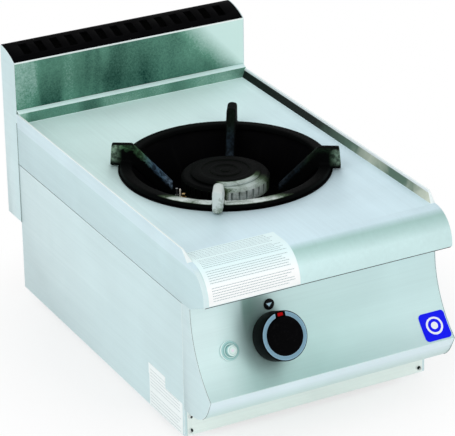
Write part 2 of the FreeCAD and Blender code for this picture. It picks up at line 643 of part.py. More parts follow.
def flue():
    """The chimney box behind the worktop, under a black slotted cap."""
    window = rectangle("0 - flue_window_half_width", "flue_window_low",
                       "flue_window_half_width", "flue_window_high")
    front = upright_slab("flue_front", "(body_depth + casing_sheet)", "casing_sheet",
                         rectangle(f"0 - {INNER}", "flue_bottom", INNER, "flue_front_height"))
    opening = sketch(front, "XZ_Plane", "0 - body_depth")
    draw(opening, window)
    pocket(front, opening)
    fold = sketch(front, "XZ_Plane", "0 - (body_depth + casing_sheet)")
    draw(fold, rectangle(f"0 - {INNER}", "flue_front_height - casing_sheet", INNER, "flue_front_height"))
    lip = pad(front, fold, "casing_sheet")
    lip.Reversed = True
    sub_part(front, "flue_front")
    sub_part(upright_slab("flue_back", FLUE_BACK, "casing_sheet",
                          rectangle(f"0 - {INNER}", "flue_bottom", INNER,
                                    "flue_back_height - cap_sheet - seat_clearance")), "flue_back")
    sub_part(slab("flue_floor", "XY_Plane", "flue_bottom", "casing_sheet",
                  rectangle(f"0 - {INNER}", "body_depth + casing_sheet",
                            INNER, f"{FLUE_BACK} - casing_sheet")), "flue_floor")
    outline = [("body_depth", "flue_bottom"), (FLUE_BACK, "flue_bottom"), (FLUE_BACK, "flue_back_height"),
               ("body_depth", "flue_front_height", "cap_arc_radius")]
    for word, left in (("left", f"0 - {HALF}"), ("right", INNER)):
        sub_part(slab(f"flue_cheek_{word}", "YZ_Plane", left, "casing_sheet", outline),
                 f"flue_cheek_{word}")
    flue_cap()


def flue_cap():
    """The curved black cover between the cheeks, with one row of slots for the flue gas."""
    front = ("body_depth + 2 * casing_sheet", "flue_front_height")
    back = (FLUE_BACK, "flue_back_height")
    path = [(front[0], f"{front[1]} - cap_hem"), front, (*back, "0 - cap_arc_radius")]
    side = f"({INNER} - seat_clearance)"
    shell = folded("flue_cap_shell", path, "cap_sheet", f"0 - {side}", f"2 * {side}")
    slots = []
    middle = "(body_depth + flue_depth / 2 + casing_sheet)"
    for index in range(int(value("cap_slot_count"))):
        place = f"(({index} - (cap_slot_count - 1) / 2) * cap_slot_pitch - cap_slot_width / 2)"
        slots.append(box(f"cap_slot_{index + 1}",
                         (place, f"{middle} - cap_slot_length / 2", "flue_front_height - cap_arc_radius"),
                         ("cap_slot_width", "cap_slot_length", "2 * cap_arc_radius")))
    sub_part(cut("flue_cap", shell, fuse("cap_slots", slots)), "flue_cap")


# ---------------------------------------------------------------- burner well and pan support

def well_bowl():
    """The enamelled bowl that hangs in the worktop's hole and lets the burner up through it."""
    low = "(deck_height - well_depth)"
    bowl = turned("bowl_form", [
        ("well_throat", low), ("well_floor_radius", low), ("well_mouth_radius", "deck_height"),
        ("well_flange_radius", "deck_height"), ("well_flange_radius", "deck_height + well_sheet"),
        ("well_mouth_radius - well_sheet", "deck_height + well_sheet"),
        ("well_floor_radius - well_sheet", f"{low} + well_sheet"),
        ("well_throat", f"{low} + well_sheet")])
    notch = box("pilot_notch",
                ("0 - pilot_notch_reach", "0 - pilot_notch_half_width", f"{low} - well_sheet"),
                ("pilot_notch_reach - burner_radius / 2", "2 * pilot_notch_half_width", "3 * well_sheet"))
    sub_part(cut("well_bowl", bowl, notch), "well_bowl", BURNER_SEAT)


SUPPORT_LOW = "(deck_height + well_sheet + seat_clearance)"


def support_arm(index):
    """One cast arm: a flat lug outside the ring, then a slope down towards the burner."""
    top = f"({SUPPORT_LOW} + arm_height)"
    land = "(arm_reach - arm_land)"
    outline = [("arm_reach + arm_draft", SUPPORT_LOW), ("arm_reach", top), (land, top),
               ("arm_inner_radius", f"{top} - arm_drop"),
               ("arm_inner_radius", f"{top} - arm_drop - arm_tip"),
               ("arm_inner_radius + arm_tip", f"{top} - arm_drop - arm_tip"),
               ("support_inner_radius + arm_root", SUPPORT_LOW)]
    arm = slab(f"arm_{index}_form", "XZ_Plane", "0 - arm_thickness / 2", "arm_thickness", outline)
    DOC.recompute()
    upper = [place for place, edge in enumerate(arm.Shape.Edges, 1) if is_upper_edge(edge)]
    rounded = DOC.addObject("Part::Fillet", f"arm_{index}")
    rounded.Base = arm
    rounded.Edges = [(place, value("arm_rounding"), value("arm_rounding")) for place in upper]
    return locate(rounded, angle=f"{index} * 90", axis=(0, 0, 1))


def is_upper_edge(edge):
    """Whether an edge runs along the lug's top or the slope, at one side of the arm."""
    ends = [vertex.Point for vertex in edge.Vertexes]
    if abs(ends[0].y - ends[1].y) > 0.01:
        return False
    tip = value(f"{SUPPORT_LOW} + arm_height - arm_drop") - 0.01
    low = min(point.z for point in ends)
    upright = abs(ends[0].x - ends[1].x) < value("arm_thickness") / 2
    return low > tip and not upright


def pan_support():
    """The loose cast ring with four arms that carries the wok."""
    ring = turned("support_ring", [
        ("support_inner_radius", SUPPORT_LOW), ("support_outer_radius", SUPPORT_LOW),
        ("support_outer_radius - ring_draft", f"{SUPPORT_LOW} + support_thickness"),
        ("support_inner_radius + ring_draft", f"{SUPPORT_LOW} + support_thickness")])
    arms = [support_arm(index) for index in range(4)]
    sub_part(fuse("wok_support", [ring] + arms), "wok_support",
             (("0", "burner_back", "0"), "support_turn"), axis=(0, 0, 1))


# ---------------------------------------------------------------- burner

def burner():
    """The cast cup, the flame crown on it, the disc that closes the crown and the mixing tube."""
    inner = "(burner_radius - burner_wall)"
    floor = "(burner_base + burner_wall)"
    cup = turned("burner_cup", [
        ("0", "burner_base"), ("burner_radius", "burner_base"), ("burner_radius", "burner_seat"),
        (inner, "burner_seat"), (inner, floor), ("0", floor)])
    port = cylinder("mixer_port", "mixer_radius + hole_play", "burner_radius",
                    ("0", "0", "mixer_height"), "90")
    sub_part(cut("burner_body", cup, port), "burner_body", BURNER_SEAT)
    crown()
    top = "(burner_seat + crown_height)"
    sub_part(turned("burner_cap_form", [
        ("0", f"{top} - cap_spigot_depth"), ("crown_bore - cap_play", f"{top} - cap_spigot_depth"),
        ("crown_bore - cap_play", f"{top} + seat_clearance"),
        ("cap_disc_radius", f"{top} + seat_clearance"),
        ("cap_disc_radius", f"{top} + 0.6 * cap_disc_thickness"),
        ("0.8 * cap_disc_radius", f"{top} + cap_disc_thickness"), ("0", f"{top} + cap_disc_thickness")]),
        "burner_cap", BURNER_SEAT)
    mixing_tube()
    burner_beam()


def crown():
    """The loose flame ring: its rim is cut with gas ports, and a spigot drops into the cup."""
    top = "(burner_seat + crown_height)"
    body = turned("burner_crown", [
        ("crown_bore", "burner_seat - crown_spigot_depth"),
        ("crown_spigot", "burner_seat - crown_spigot_depth"),
        ("crown_spigot", "burner_seat + seat_clearance"),
        ("crown_radius - crown_chamfer", "burner_seat + seat_clearance"),
        ("crown_radius", "burner_seat + crown_chamfer"), ("crown_radius", f"{top} - crown_chamfer"),
        ("crown_radius - crown_chamfer", top), ("crown_bore", top)])
    port = sketch(body, "YZ_Plane", "crown_radius - port_depth")
    draw(port, rectangle("0 - port_width / 2", f"{top} - crown_chamfer - port_height",
                         "port_width / 2", f"{top} - crown_chamfer"))
    groove = body.newObject("PartDesign::Pocket", "crown_port")
    groove.Profile = port
    groove.Reversed = True
    bind(groove, "Length", "2 * port_depth")
    ring = body.newObject("PartDesign::PolarPattern", "crown_port_ring")
    ring.Originals = [groove]
    ring.Axis = (next(item for item in body.Origin.OriginFeatures if item.Role == "Z_Axis"), [""])
    ring.Angle = 360
    bind(ring, "Occurrences", "crown_ports")
    body.Tip = ring
    sub_part(body, "burner_crown", BURNER_SEAT)


MIXER_BACK = "(burner_back - burner_radius + 0.6 * burner_wall)"
MIXER_FRONT = f"({MIXER_BACK} - mixer_length)"


def mixing_tube():
    """The tapered pipe that draws in air round the jet and leads it to the burner."""
    start = "(mixer_length - mixer_mouth_length)"
    tube_form = turned("mixing_tube", [
        ("mixer_bore", "0"), ("mixer_radius", "0"), ("mixer_radius", start),
        ("mixer_mouth", "mixer_length - mixer_rim"), ("mixer_mouth", "mixer_length"),
        ("mixer_mouth - mixer_rim", "mixer_length"), ("mixer_bore", start)])
    seat = (("0", MIXER_BACK, "mixer_height"), "90")
    sub_part(tube_form, "mixing_tube", seat)
    disc = cylinder("shutter_disc", "shutter_radius", "shutter_thickness")
    centre = cylinder("shutter_centre", "jet_radius + seat_clearance", "shutter_thickness")
    holes = [cylinder(f"shutter_hole_{index}", "shutter_hole_radius", "shutter_thickness",
                      (f"0.62 * shutter_radius * cos({index} * 60)",
                       f"0.62 * shutter_radius * sin({index} * 60)", "0")) for index in range(6)]
    plate = cut("air_shutter", disc, fuse("shutter_openings", [centre] + holes))
    sub_part(plate, "air_shutter", (("0", MIXER_FRONT, "mixer_height"), "90"))
    nose = cylinder("jet_nose", "jet_radius", "jet_nose_length", ("0", "0", "0 - jet_nose_length / 2"))
    holder = hexagon("jet_flats", "1.6 * jet_radius", "jet_hexagon", ("0", "0", "shutter_thickness"))
    sub_part(fuse("jet_holder", [nose, holder]), "jet_holder",
             (("0", MIXER_FRONT, "mixer_height"), "90"))


def burner_beam():
    """The cross beam that carries the burner between the side panels."""
    body = slab("burner_beam", "XY_Plane", "burner_base - beam_sheet", "beam_sheet",
                rectangle(f"0 - {INNER}", "burner_back - beam_half_width",
                          INNER, "burner_back + beam_half_width"))
    for back in ("burner_back - beam_half_width", "burner_back + beam_half_width - beam_sheet"):
        web = sketch(body, "XY_Plane", "burner_base - beam_flange")
        draw(web, rectangle(f"0 - {INNER}", back, INNER, f"{back} + beam_sheet"))
        pad(body, web, "beam_flange")
    sub_part(body, "burner_beam")


STEM_LOW = "(deck_height - well_depth - stem_drop)"


def pilot_group():
    """The pilot flame, the spark pin and the flame probe on one small plate beside the crown."""
    plate = box("pilot_plate_form",
                ("pilot_across - 2 * pilot_radius", "0 - pilot_spread - 1.5 * pilot_radius",
                 "pilot_plate_height"),
                ("0 - pilot_across + 2 * pilot_radius - burner_radius",
                 "2 * pilot_spread + 3 * pilot_radius", "pilot_plate_sheet"))
    stems = [("pilot_burner", "pilot_radius", "(0 - pilot_spread)", "pilot_top", "0.6 * pilot_radius"),
             ("spark_pin", "spark_sleeve_radius", "0", "(spark_top - spark_wire)",
              "0.48 * spark_sleeve_radius"),
             ("flame_probe", "probe_radius", "pilot_spread", "(probe_top - probe_tip)", "0.7 * probe_radius")]
    tops = {"pilot_burner": "(pilot_top + pilot_nozzle)", "spark_pin": "spark_top",
            "flame_probe": "probe_top"}
    holes = []
    for label, radius, along, shoulder, tip in stems:
        stem = turned(label + "_form", [
            ("0", STEM_LOW), (radius, STEM_LOW), (radius, shoulder), (tip, shoulder), (tip, tops[label]),
            ("0", tops[label])])
        sub_part(stem, label, (("pilot_across", f"burner_back + {along}", "0"), None))
        holes.append(cylinder(label + "_hole", f"{radius} + screw_play", "4 * pilot_plate_sheet",
                              ("pilot_across", along, "pilot_plate_height - pilot_plate_sheet")))
    sub_part(cut("pilot_bracket", plate, fuse("pilot_holes", holes)), "pilot_bracket", BURNER_SEAT)


# ---------------------------------------------------------------- tap and knob

TAP_INLET_DEPTH = "(tap_body_top + tap_body_length - 1.3 * tap_port_radius)"
TAP_LOW = "(0 - tap_body_top - tap_body_length)"
TAP_SHOULDER = "(0 - tap_body_top - tap_neck)"


def tap():
    """The gas tap behind the panel, its turning plug, the spindle and the knob."""
    bore = "(spindle_radius + spindle_fit)"
    rim = "(tap_body_radius / 2 + plug_radius / 2)"
    shell = turned("tap_shell", [
        ("plug_radius + spindle_fit", f"{TAP_LOW} + tap_wall"),
        ("plug_radius + spindle_fit", TAP_SHOULDER), (bore, TAP_SHOULDER), (bore, "0 - tap_body_top"),
        ("0.55 * tap_body_radius", "0 - tap_body_top"),
        ("0.7 * tap_body_radius", f"{TAP_SHOULDER} + tap_neck / 3"), ("tap_body_radius", TAP_SHOULDER),
        ("tap_body_radius", TAP_LOW), ("0", TAP_LOW), ("0", f"{TAP_LOW} + tap_wall")])
    inlet = cylinder("tap_inlet", "tap_port_radius", f"tap_inlet_reach - {rim}",
                     ("0", f"0 - {rim}", f"0 - {TAP_INLET_DEPTH}"), "90")
    outlet = cylinder("tap_outlet", "0.7 * tap_port_radius", f"tap_outlet_reach - {rim}",
                      (rim, "0", "0 - tap_outlet_depth"), "90", (0, 1, 0))
    pilot = cylinder("tap_pilot_outlet", "0.5 * tap_port_radius", f"tap_outlet_reach - {rim}",
                     (f"0 - {rim}", "0", "0 - tap_outlet_depth"), "0 - 90", (0, 1, 0))
    sub_part(fuse("tap_form", [shell, inlet, outlet, pilot]), "gas_tap", TAP_SEAT)
    plug_top = f"({TAP_SHOULDER} - plug_gap)"
    core = cylinder("plug_core", "plug_radius", "plug_length", ("0", "0", f"{plug_top} - plug_length"))
    socket = cylinder("plug_socket", bore, "plug_length", ("0", "0", f"{plug_top} - 0.7 * plug_length"))
    sub_part(cut("tap_plug", core, socket), "tap_plug", TAP_SEAT)
    spindle_low = f"({plug_top} - 0.7 * plug_length + knob_push + plug_gap)"
    sub_part(rod("spindle_form", "spindle_radius", spindle_low, "knob_standoff + knob_socket"),
             "tap_spindle", TAP_SEAT)
    knob("knob_standoff")


def knob(foot):
    """The round knob: a sleeve on the spindle, a pale ring inlaid in its face and a red mark."""
    face = f"({foot} + knob_height)"
    rise = f"({face} + knob_face_rise)"
    ring_inner = "(knob_face_radius + knob_ring_gap)"
    form = turned("knob_form", [
        ("spindle_radius", foot), ("knob_radius - knob_foot_chamfer", foot),
        ("knob_radius", f"{foot} + knob_foot_chamfer"),
        ("knob_radius", f"{face} - knob_rounding"), ("knob_ring_outer", face),
        ("knob_ring_outer", f"{face} - knob_ring_depth"), (ring_inner, f"{face} - knob_ring_depth"),
        (ring_inner, face), ("knob_face_radius", f"{rise} - knob_face_step"),
        ("knob_face_radius - knob_rounding", rise),
        ("0", rise), ("0", f"{foot} + knob_socket"), ("spindle_radius", f"{foot} + knob_socket")])
    sub_part(form, "knob", TAP_SEAT)
    band = turned("knob_ring_form", rectangle(ring_inner, f"{face} - knob_ring_depth",
                                              "knob_ring_outer", face))
    slot = box("mark_slot",
               ("0 - knob_mark_width", "knob_face_radius / 2", f"{face} - 2 * knob_ring_depth"),
               ("2 * knob_mark_width", "knob_radius", "4 * knob_ring_depth"))
    sub_part(cut("knob_ring", band, slot), "knob_ring", TAP_SEAT)
    mark = slab("knob_mark_form", "XY_Plane", f"{face} - knob_ring_depth", "knob_ring_depth",
                rectangle("0 - knob_mark_width / 2", f"{ring_inner} + seat_clearance",
                          "knob_mark_width / 2", "knob_ring_outer - knob_mark_inset"))
    sub_part(mark, "knob_mark", TAP_SEAT)


def index_disc():
    """The small round index above the knob, with a white triangle that points down at it."""
    seat = hollow_depth("index_radius")
    plain = cylinder("index_blank", "index_radius", "index_thickness", ("0", "0", seat))
    top = f"({seat} + index_thickness)"
    triangle = [("0 - index_triangle", "0.45 * index_triangle"), ("0", "0 - 0.75 * index_triangle"),
                ("index_triangle", "0.45 * index_triangle")]
    arrow = slab("index_arrow_form", "XY_Plane", f"{top} - index_inlay", "index_inlay", triangle)
    socket = slab("index_socket", "XY_Plane", f"{top} - index_inlay", "2 * index_inlay", triangle)
    sub_part(cut("index_disc", plain, socket), "index_disc", INDEX_SEAT)
    sub_part(arrow, "index_arrow", INDEX_SEAT)


def spark_button():
    """The spark generator, held by a flange in front of the panel and a nut behind it."""
    seat = hollow_depth("spark_flange_radius")
    top = f"({seat} + spark_flange_height)"
    bore = "(button_radius + button_fit)"
    shell = turned("spark_shell", [
        (bore, "0 - spark_body_length / 2"), (bore, f"{top} + spark_collar_height"),
        ("spark_collar_radius", f"{top} + spark_collar_height"), ("spark_collar_radius", top),
        ("spark_flange_radius - spark_flange_bevel", top),
        ("spark_flange_radius", f"{top} - spark_flange_bevel"),
        ("spark_flange_radius", seat), ("spark_body_radius", seat),
        ("spark_body_radius", "0 - spark_body_length"), ("0", "0 - spark_body_length"),
        ("0", "0 - spark_body_length / 2")])
    sub_part(shell, "spark_generator", SPARK_SEAT)
    foot = "(button_travel + button_room - spark_body_length / 2)"
    cap = turned("button_cap", [
        ("button_core_radius", foot), ("button_radius", foot),
        ("button_radius", "button_rise - button_edge"), ("button_radius - button_edge", "button_rise"),
        ("0", "button_rise"), ("0", "button_rise - button_skin"),
        ("button_core_radius", "button_rise - button_skin")])
    sub_part(cap, "spark_button", SPARK_SEAT)
    sub_part(rod("button_core_form", "button_core_radius", foot, "button_rise - button_skin"),
             "button_core", SPARK_SEAT)
    under = "(0 - 2 * casing_sheet - spark_nut_thickness)"
    nut = hexagon("nut_blank", "spark_nut_radius", "spark_nut_thickness", ("0", "0", under))
    hole = cylinder("nut_hole", "spark_body_radius", "spark_nut_thickness", ("0", "0", under))
    sub_part(cut("spark_nut", nut, hole), "spark_nut", SPARK_SEAT)


# ---------------------------------------------------------------- gas train

def tap_point(depth, aside="0"):
    """A point on the tap's axis, in the casing frame, at a depth behind the panel."""
    (across, back, up), angle = TAP_SEAT
    return (f"{across} + {aside}", f"{back} + {depth} * sin({angle})", f"{up} - {depth} * cos({angle})")


def gas_train():
    """The inlet fitting at the rear, the supply pipe to the tap and the small pipes to the burner."""
    collar = cylinder("inlet_collar", "inlet_collar_radius", "inlet_collar_length",
                      ("0", "0", "0 - inlet_collar_length"))
    flats = hexagon("inlet_flats", "inlet_hex_radius", "inlet_hex_length")
    thread = cylinder("inlet_thread", "thread_radius", "thread_length", ("0", "0", "inlet_hex_length"))
    bore = cylinder("inlet_bore", "pipe_bore", "2 * inlet_collar_length + inlet_hex_length + thread_length",
                    ("0", "0", "0 - 1.5 * inlet_collar_length"))
    fitting = cut("gas_inlet", fuse("inlet_solid", [collar, flats, thread]), bore)
    sub_part(fitting, "gas_inlet", (("inlet_across", "body_depth", "inlet_height"), "0 - 90"))
    supply_pipe()
    feed_pipe()
    pilot_pipes()


def supply_pipe():
    """The steel pipe from the inlet, along the right side and across the front, up to the tap."""
    entry = tap_point(TAP_INLET_DEPTH)
    angle = TAP_SEAT[1]
    foot = f"({entry[1]} - ({entry[2]} - inlet_height) / tan({angle}))"
    tube("supply_pipe", [("inlet_across", "body_depth - inlet_collar_length", "inlet_height"),
                         ("inlet_across", foot, "inlet_height"), ("tap_across", foot, "inlet_height"),
                         ("tap_across", f"{entry[1]} - tap_inlet_reach * cos({angle})",
                          f"{entry[2]} - tap_inlet_reach * sin({angle})")],
         "pipe_radius", "pipe_bend", "pipe_bore")


def feed_pipe():
    """The pipe from the tap's side to the jet."""
    start = tap_point("tap_outlet_depth", "tap_outlet_reach")
    tube("feed_pipe", [start, ("0", start[1], start[2]), ("0", start[1], "mixer_height"),
                       ("0", f"{MIXER_FRONT} - shutter_thickness - jet_hexagon", "mixer_height")],
         "feed_radius", "feed_bend")


def pilot_pipes():
    """The pilot's gas pipe, the flame probe's line and the spark's lead, each in its own lane."""
    pilot = "(burner_back - pilot_spread)"
    start = tap_point("tap_outlet_depth", "0 - tap_outlet_reach")
    tube("pilot_pipe", [start, ("pilot_lane", start[1], start[2]), ("pilot_lane", start[1], "lane_height"),
                        ("pilot_lane", pilot, "lane_height"), ("pilot_across", pilot, "lane_height"),
                        ("pilot_across", pilot, STEM_LOW)], "pilot_feed_radius", "lane_bend")
    probe = "(burner_back + pilot_spread)"
    lane = "(pilot_lane - lane_pitch)"
    tap_end = "(tap_body_top + tap_body_length)"
    tube("probe_line", [tap_point(tap_end), tap_point(f"({tap_end} + 3 * lane_bend)"),
                        (lane, "manifold_back + 6 * lane_bend", "lane_height"),
                        (lane, probe, "lane_height"), ("pilot_across", probe, "lane_height"),
                        ("pilot_across", probe, STEM_LOW)], "lead_radius", "lane_bend")
    (across, back, up), angle = SPARK_SEAT
    tail = (f"{back} + spark_body_length * sin({angle})", f"{up} - spark_body_length * cos({angle})")
    reach = "(spark_body_length + 3 * lane_bend)"
    height = "(lane_height - lane_pitch)"
    tube("spark_lead", [(across, *tail), (across, f"{back} + {reach} * sin({angle})",
                                          f"{up} - {reach} * cos({angle})"),
                        (across, "manifold_back + 6 * lane_bend", height),
                        (across, "burner_back", height), ("pilot_across", "burner_back", height),
                        ("pilot_across", "burner_back", STEM_LOW)], "lead_radius", "lane_bend")


def labels():
    """Blank stickers: one rolled over the nose, one on the left side and a blue one on the panel."""
    path = [("nose_label_back", "deck_height"), NOSE_TOP, (*NOSE_SIDE, "nose_radius"),
            (NOSE_FOOT[0], f"{NOSE_LOW} + label_foot")]
    sub_part(folded("nose_label_form", path, "label_thickness", "0", "nose_label_width"),
             "nose_label", (("nose_label_left", "0", "0"), None))
    plate = slab("rating_plate_form", "YZ_Plane", f"0 - {HALF} - label_thickness", "label_thickness", [
        ("plate_front", "plate_low"), ("plate_front + plate_length", "plate_low"),
        ("plate_front + plate_length", "plate_low + plate_height"),
        ("tag_front + tag_length", "plate_low + plate_height"),
        ("tag_front + tag_length", "plate_low + plate_height + tag_height"),
        ("tag_front", "plate_low + plate_height + tag_height"),
        ("tag_front", "plate_low + plate_height"), ("plate_front", "plate_low + plate_height")])
    sub_part(plate, "rating_plate")
    badge()


def badge():
    """The rounded square sticker low on the control panel, following its hollow."""
    half_width = "badge_width / 2"
    half_length = "badge_length / 2"
    square = [(f"{half_width} - badge_corner", f"0 - {half_length}"),
              (half_width, f"badge_corner - {half_length}", "badge_corner"),
              (half_width, f"{half_length} - badge_corner"),
              (f"{half_width} - badge_corner", half_length, "badge_corner"),
              (f"badge_corner - {half_width}", half_length),
              (f"0 - {half_width}", f"{half_length} - badge_corner", "badge_corner"),
              (f"0 - {half_width}", f"badge_corner - {half_length}"),
              (f"badge_corner - {half_width}", f"0 - {half_length}", "badge_corner")]
    stamp = slab("badge_stamp", "XY_Plane", "0 - badge_corner", "2 * badge_corner", square)
    middle = "panel_arc_radius"
    outer = cylinder("badge_arc_outer", f"{middle} - seat_clearance", "2 * badge_width",
                     ("0 - badge_width", "0", middle), "90", (0, 1, 0))
    inner = cylinder("badge_arc_inner", f"{middle} - seat_clearance - label_thickness", "2 * badge_width",
                     ("0 - badge_width", "0", middle), "90", (0, 1, 0))
    sub_part(common("badge_form", stamp, cut("badge_film", outer, inner)), "badge", BADGE_SEAT)


side_panel(-1, "side_panel_left")
side_panel(1, "side_panel_right")
base_tray()
back_panel()
base_strip()
feet()
control_panel()
panel_cheek(-1, "panel_cheek_left")
panel_cheek(1, "panel_cheek_right")
worktop()
flue()
well_bowl()
pan_support()
burner()
pilot_group()
tap()
index_disc()
spark_button()
gas_train()
labels()


def all_sound():
    """Stops at the first object that failed or whose shape is empty or broken."""
    for thing in DOC.Objects:
        if "Invalid" in thing.State or "Error" in thing.State:
            raise RuntimeError(f"{thing.Name} failed: {thing.State}")
    for thing in SUB_PARTS:
        if thing.Shape.isNull() or not thing.Shape.isValid():
            raise RuntimeError(f"{thing.Label} has no sound shape")


DOC.recompute()
all_sound()
reach = FreeCAD.BoundBox()
for thing in SUB_PARTS:
    reach.add(thing.Shape.BoundBox)
SIZES.set(SHIFT, str(round(-reach.Center.y, 4)))
DOC.recompute()
all_sound()

os.makedirs("parts", exist_ok=True)
for thing in SUB_PARTS:
    thing.Shape.exportStep(os.path.join("parts", thing.Label + ".step"))
    print(thing.Label, "solids", len(thing.Shape.Solids), "volume", round(thing.Shape.Volume, 1))
print("box", reach)
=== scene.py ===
# %% [markdown]
# # A countertop gas wok range
# This script dresses a finished sheet-metal model. The solids already have their real shapes, so
# what is left is the look: satin stainless steel, black enamel, cast iron, a moulded knob, paper
# labels, and a few small things that solids hold badly, such as threads and rounded sheet edges.
# Every length below is in metres, in the same frame as the solids: X to the right as the cook
# stands, Y to the back, Z up, and the floor at zero.

# %% Load the solids
import bmesh
import bpy
import json
import math
from mathutils import Matrix, Vector

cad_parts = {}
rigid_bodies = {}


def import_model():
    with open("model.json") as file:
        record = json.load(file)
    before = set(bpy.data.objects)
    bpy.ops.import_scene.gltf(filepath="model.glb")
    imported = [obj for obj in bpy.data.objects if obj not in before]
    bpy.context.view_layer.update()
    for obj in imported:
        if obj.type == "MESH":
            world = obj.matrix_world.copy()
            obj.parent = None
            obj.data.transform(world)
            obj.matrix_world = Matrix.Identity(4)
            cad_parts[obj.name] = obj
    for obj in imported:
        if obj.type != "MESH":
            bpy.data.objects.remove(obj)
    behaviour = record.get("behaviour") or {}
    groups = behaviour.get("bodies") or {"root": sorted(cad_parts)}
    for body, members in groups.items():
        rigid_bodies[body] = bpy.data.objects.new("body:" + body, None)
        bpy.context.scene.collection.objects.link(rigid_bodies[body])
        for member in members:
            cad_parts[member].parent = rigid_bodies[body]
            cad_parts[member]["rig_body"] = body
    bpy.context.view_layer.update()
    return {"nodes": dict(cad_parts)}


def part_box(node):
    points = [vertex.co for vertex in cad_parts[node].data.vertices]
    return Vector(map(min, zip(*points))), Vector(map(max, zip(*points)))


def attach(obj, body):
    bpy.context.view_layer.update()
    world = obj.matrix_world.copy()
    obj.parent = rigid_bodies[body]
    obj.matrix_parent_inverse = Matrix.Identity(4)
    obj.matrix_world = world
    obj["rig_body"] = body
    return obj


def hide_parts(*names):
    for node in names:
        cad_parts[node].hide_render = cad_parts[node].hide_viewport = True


def short(numbers, digits=4):
    """Numbers rounded for printing."""
    return [round(number, digits) for number in numbers]


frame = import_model()
solids = frame["nodes"]

# %% [markdown]
# ## The camera
# The picture was taken from the left front, about 25 degrees above the worktop, with a long lens.
# A long lens far away keeps the near and far edges of the casing almost parallel. The camera's
# three axes are worked out from its compass direction, its height angle and a slight roll, and
# then stacked as the columns of its matrix, because a camera looks along its own minus Z.

# %% Place the camera
SENSOR = 0.036
MILLIMETRES = 1000
PICTURE_WIDTH = 455
FOCAL_PIXELS = 2574.1
CAMERA_FROM_CASING = Vector((-1.6298, -2.8420, 1.8121))
AZIMUTH, ELEVATION, ROLL = (math.radians(angle) for angle in (-27.88, 24.83, -0.81))

away = Vector((math.sin(AZIMUTH) * math.cos(ELEVATION), -math.cos(AZIMUTH) * math.cos(ELEVATION),
               math.sin(ELEVATION)))
level = Vector((math.cos(AZIMUTH), math.sin(AZIMUTH), 0))
upward = away.cross(level)
side_axis = math.cos(ROLL) * level + math.sin(ROLL) * upward
up_axis = math.cos(ROLL) * upward - math.sin(ROLL) * level

camera = bpy.data.objects.new("camera", bpy.data.cameras.new("camera"))
bpy.context.scene.collection.objects.link(camera)
camera.data.sensor_width = SENSOR * MILLIMETRES
camera.data.lens = FOCAL_PIXELS * SENSOR * MILLIMETRES / PICTURE_WIDTH
casing_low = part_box("side_panel_left")[0]
stand = CAMERA_FROM_CASING + Vector((0, casing_low.y, casing_low.z))
turn = Matrix((side_axis, up_axis, away)).transposed().to_4x4()
camera.matrix_world = Matrix.Translation(stand) @ turn
bpy.context.scene.camera = camera
print("camera lens", round(camera.data.lens, 1), "mm at", short(stand, 3))

# %% [markdown]
# ## Wiring helpers
# Shader trees are built in code here. A few helpers keep that short: they add a node, give each of
# its inputs a socket or a plain value, and return what comes out. Colours are written as three
# levels from 0 to 255, as seen on a screen. One helper makes a node group with named sockets: a
# group holds an effect that several finishes share, and each material gives it its own numbers.

# %% Node helpers
def from_screen(red, green, blue):
    """A colour as seen on a screen, 0 to 255, as the linear numbers that a shader wants."""
    def linear(value):
        value = value / 255
        return value / 12.92 if value <= 0.04045 else ((value + 0.055) / 1.055) ** 2.4
    return (linear(red), linear(green), linear(blue), 1.0)


def plug(tree, slots, values):
    """Gives each input its value: a socket is linked, a colour of three screen levels is turned
    into linear numbers, and anything else is set as it is."""
    for slot, value in zip(slots, values):
        if isinstance(value, bpy.types.NodeSocket):
            tree.links.new(value, slot)
        elif value is not None:
            by_screen = slot.type == "RGBA" and len(value) == 3
            slot.default_value = from_screen(*value) if by_screen else value


def wire(tree, node, **values):
    """Gives a node's inputs their sockets or plain values by name, with _ for a space."""
    plug(tree, [node.inputs[name.replace("_", " ")] for name in values], values.values())


def add_node(tree, kind, inputs=None, **settings):
    """A node of a kind, with its settings, and its inputs by name."""
    made = tree.nodes.new(kind)
    for name, setting in settings.items():
        setattr(made, name, setting)
    wire(tree, made, **(inputs or {}))
    return made


def new_group(name, inputs, outputs):
    """An empty shader group with named sockets, given as (name, socket type, default)."""
    tree = bpy.data.node_groups.new(name, "ShaderNodeTree")
    for label, kind, default in inputs:
        socket = tree.interface.new_socket(label, in_out="INPUT", socket_type=kind)
        socket.default_value = default
    for label, kind in outputs:
        tree.interface.new_socket(label, in_out="OUTPUT", socket_type=kind)
    return tree, tree.nodes.new("NodeGroupInput"), tree.nodes.new("NodeGroupOutput")


def math_node(tree, operation, first, second=None, clamp=False):
    """A Math node; returns its output socket."""
    made = add_node(tree, "ShaderNodeMath", operation=operation, use_clamp=clamp)
    plug(tree, made.inputs, (first, second))
    return made.outputs[0]


def vector_node(tree, operation, first, second=None):
    """A Vector Math node; returns its outputs, a vector and a value."""
    made = add_node(tree, "ShaderNodeVectorMath", operation=operation)
    plug(tree, made.inputs, (first, second))
    return made.outputs


def chain(tree, operation, values):
    """Joins several values with Math nodes of one kind."""
    joined, *others = values
    for value in others:
        joined = math_node(tree, operation, joined, value)
    return joined


def multiply(tree, *values):
    return chain(tree, "MULTIPLY", values)


def add(tree, *values):
    return chain(tree, "ADD", values)


def largest(tree, *values):
    return chain(tree, "MAXIMUM", values)


def apart(tree, first, second):
    """How far two values lie from each other."""
    return math_node(tree, "ABSOLUTE", math_node(tree, "SUBTRACT", first, second))


def diagonal(tree, width, height):
    """The diagonal of a box with these two sides."""
    squares = add(tree, multiply(tree, width, width), multiply(tree, height, height))
    return math_node(tree, "SQRT", squares)


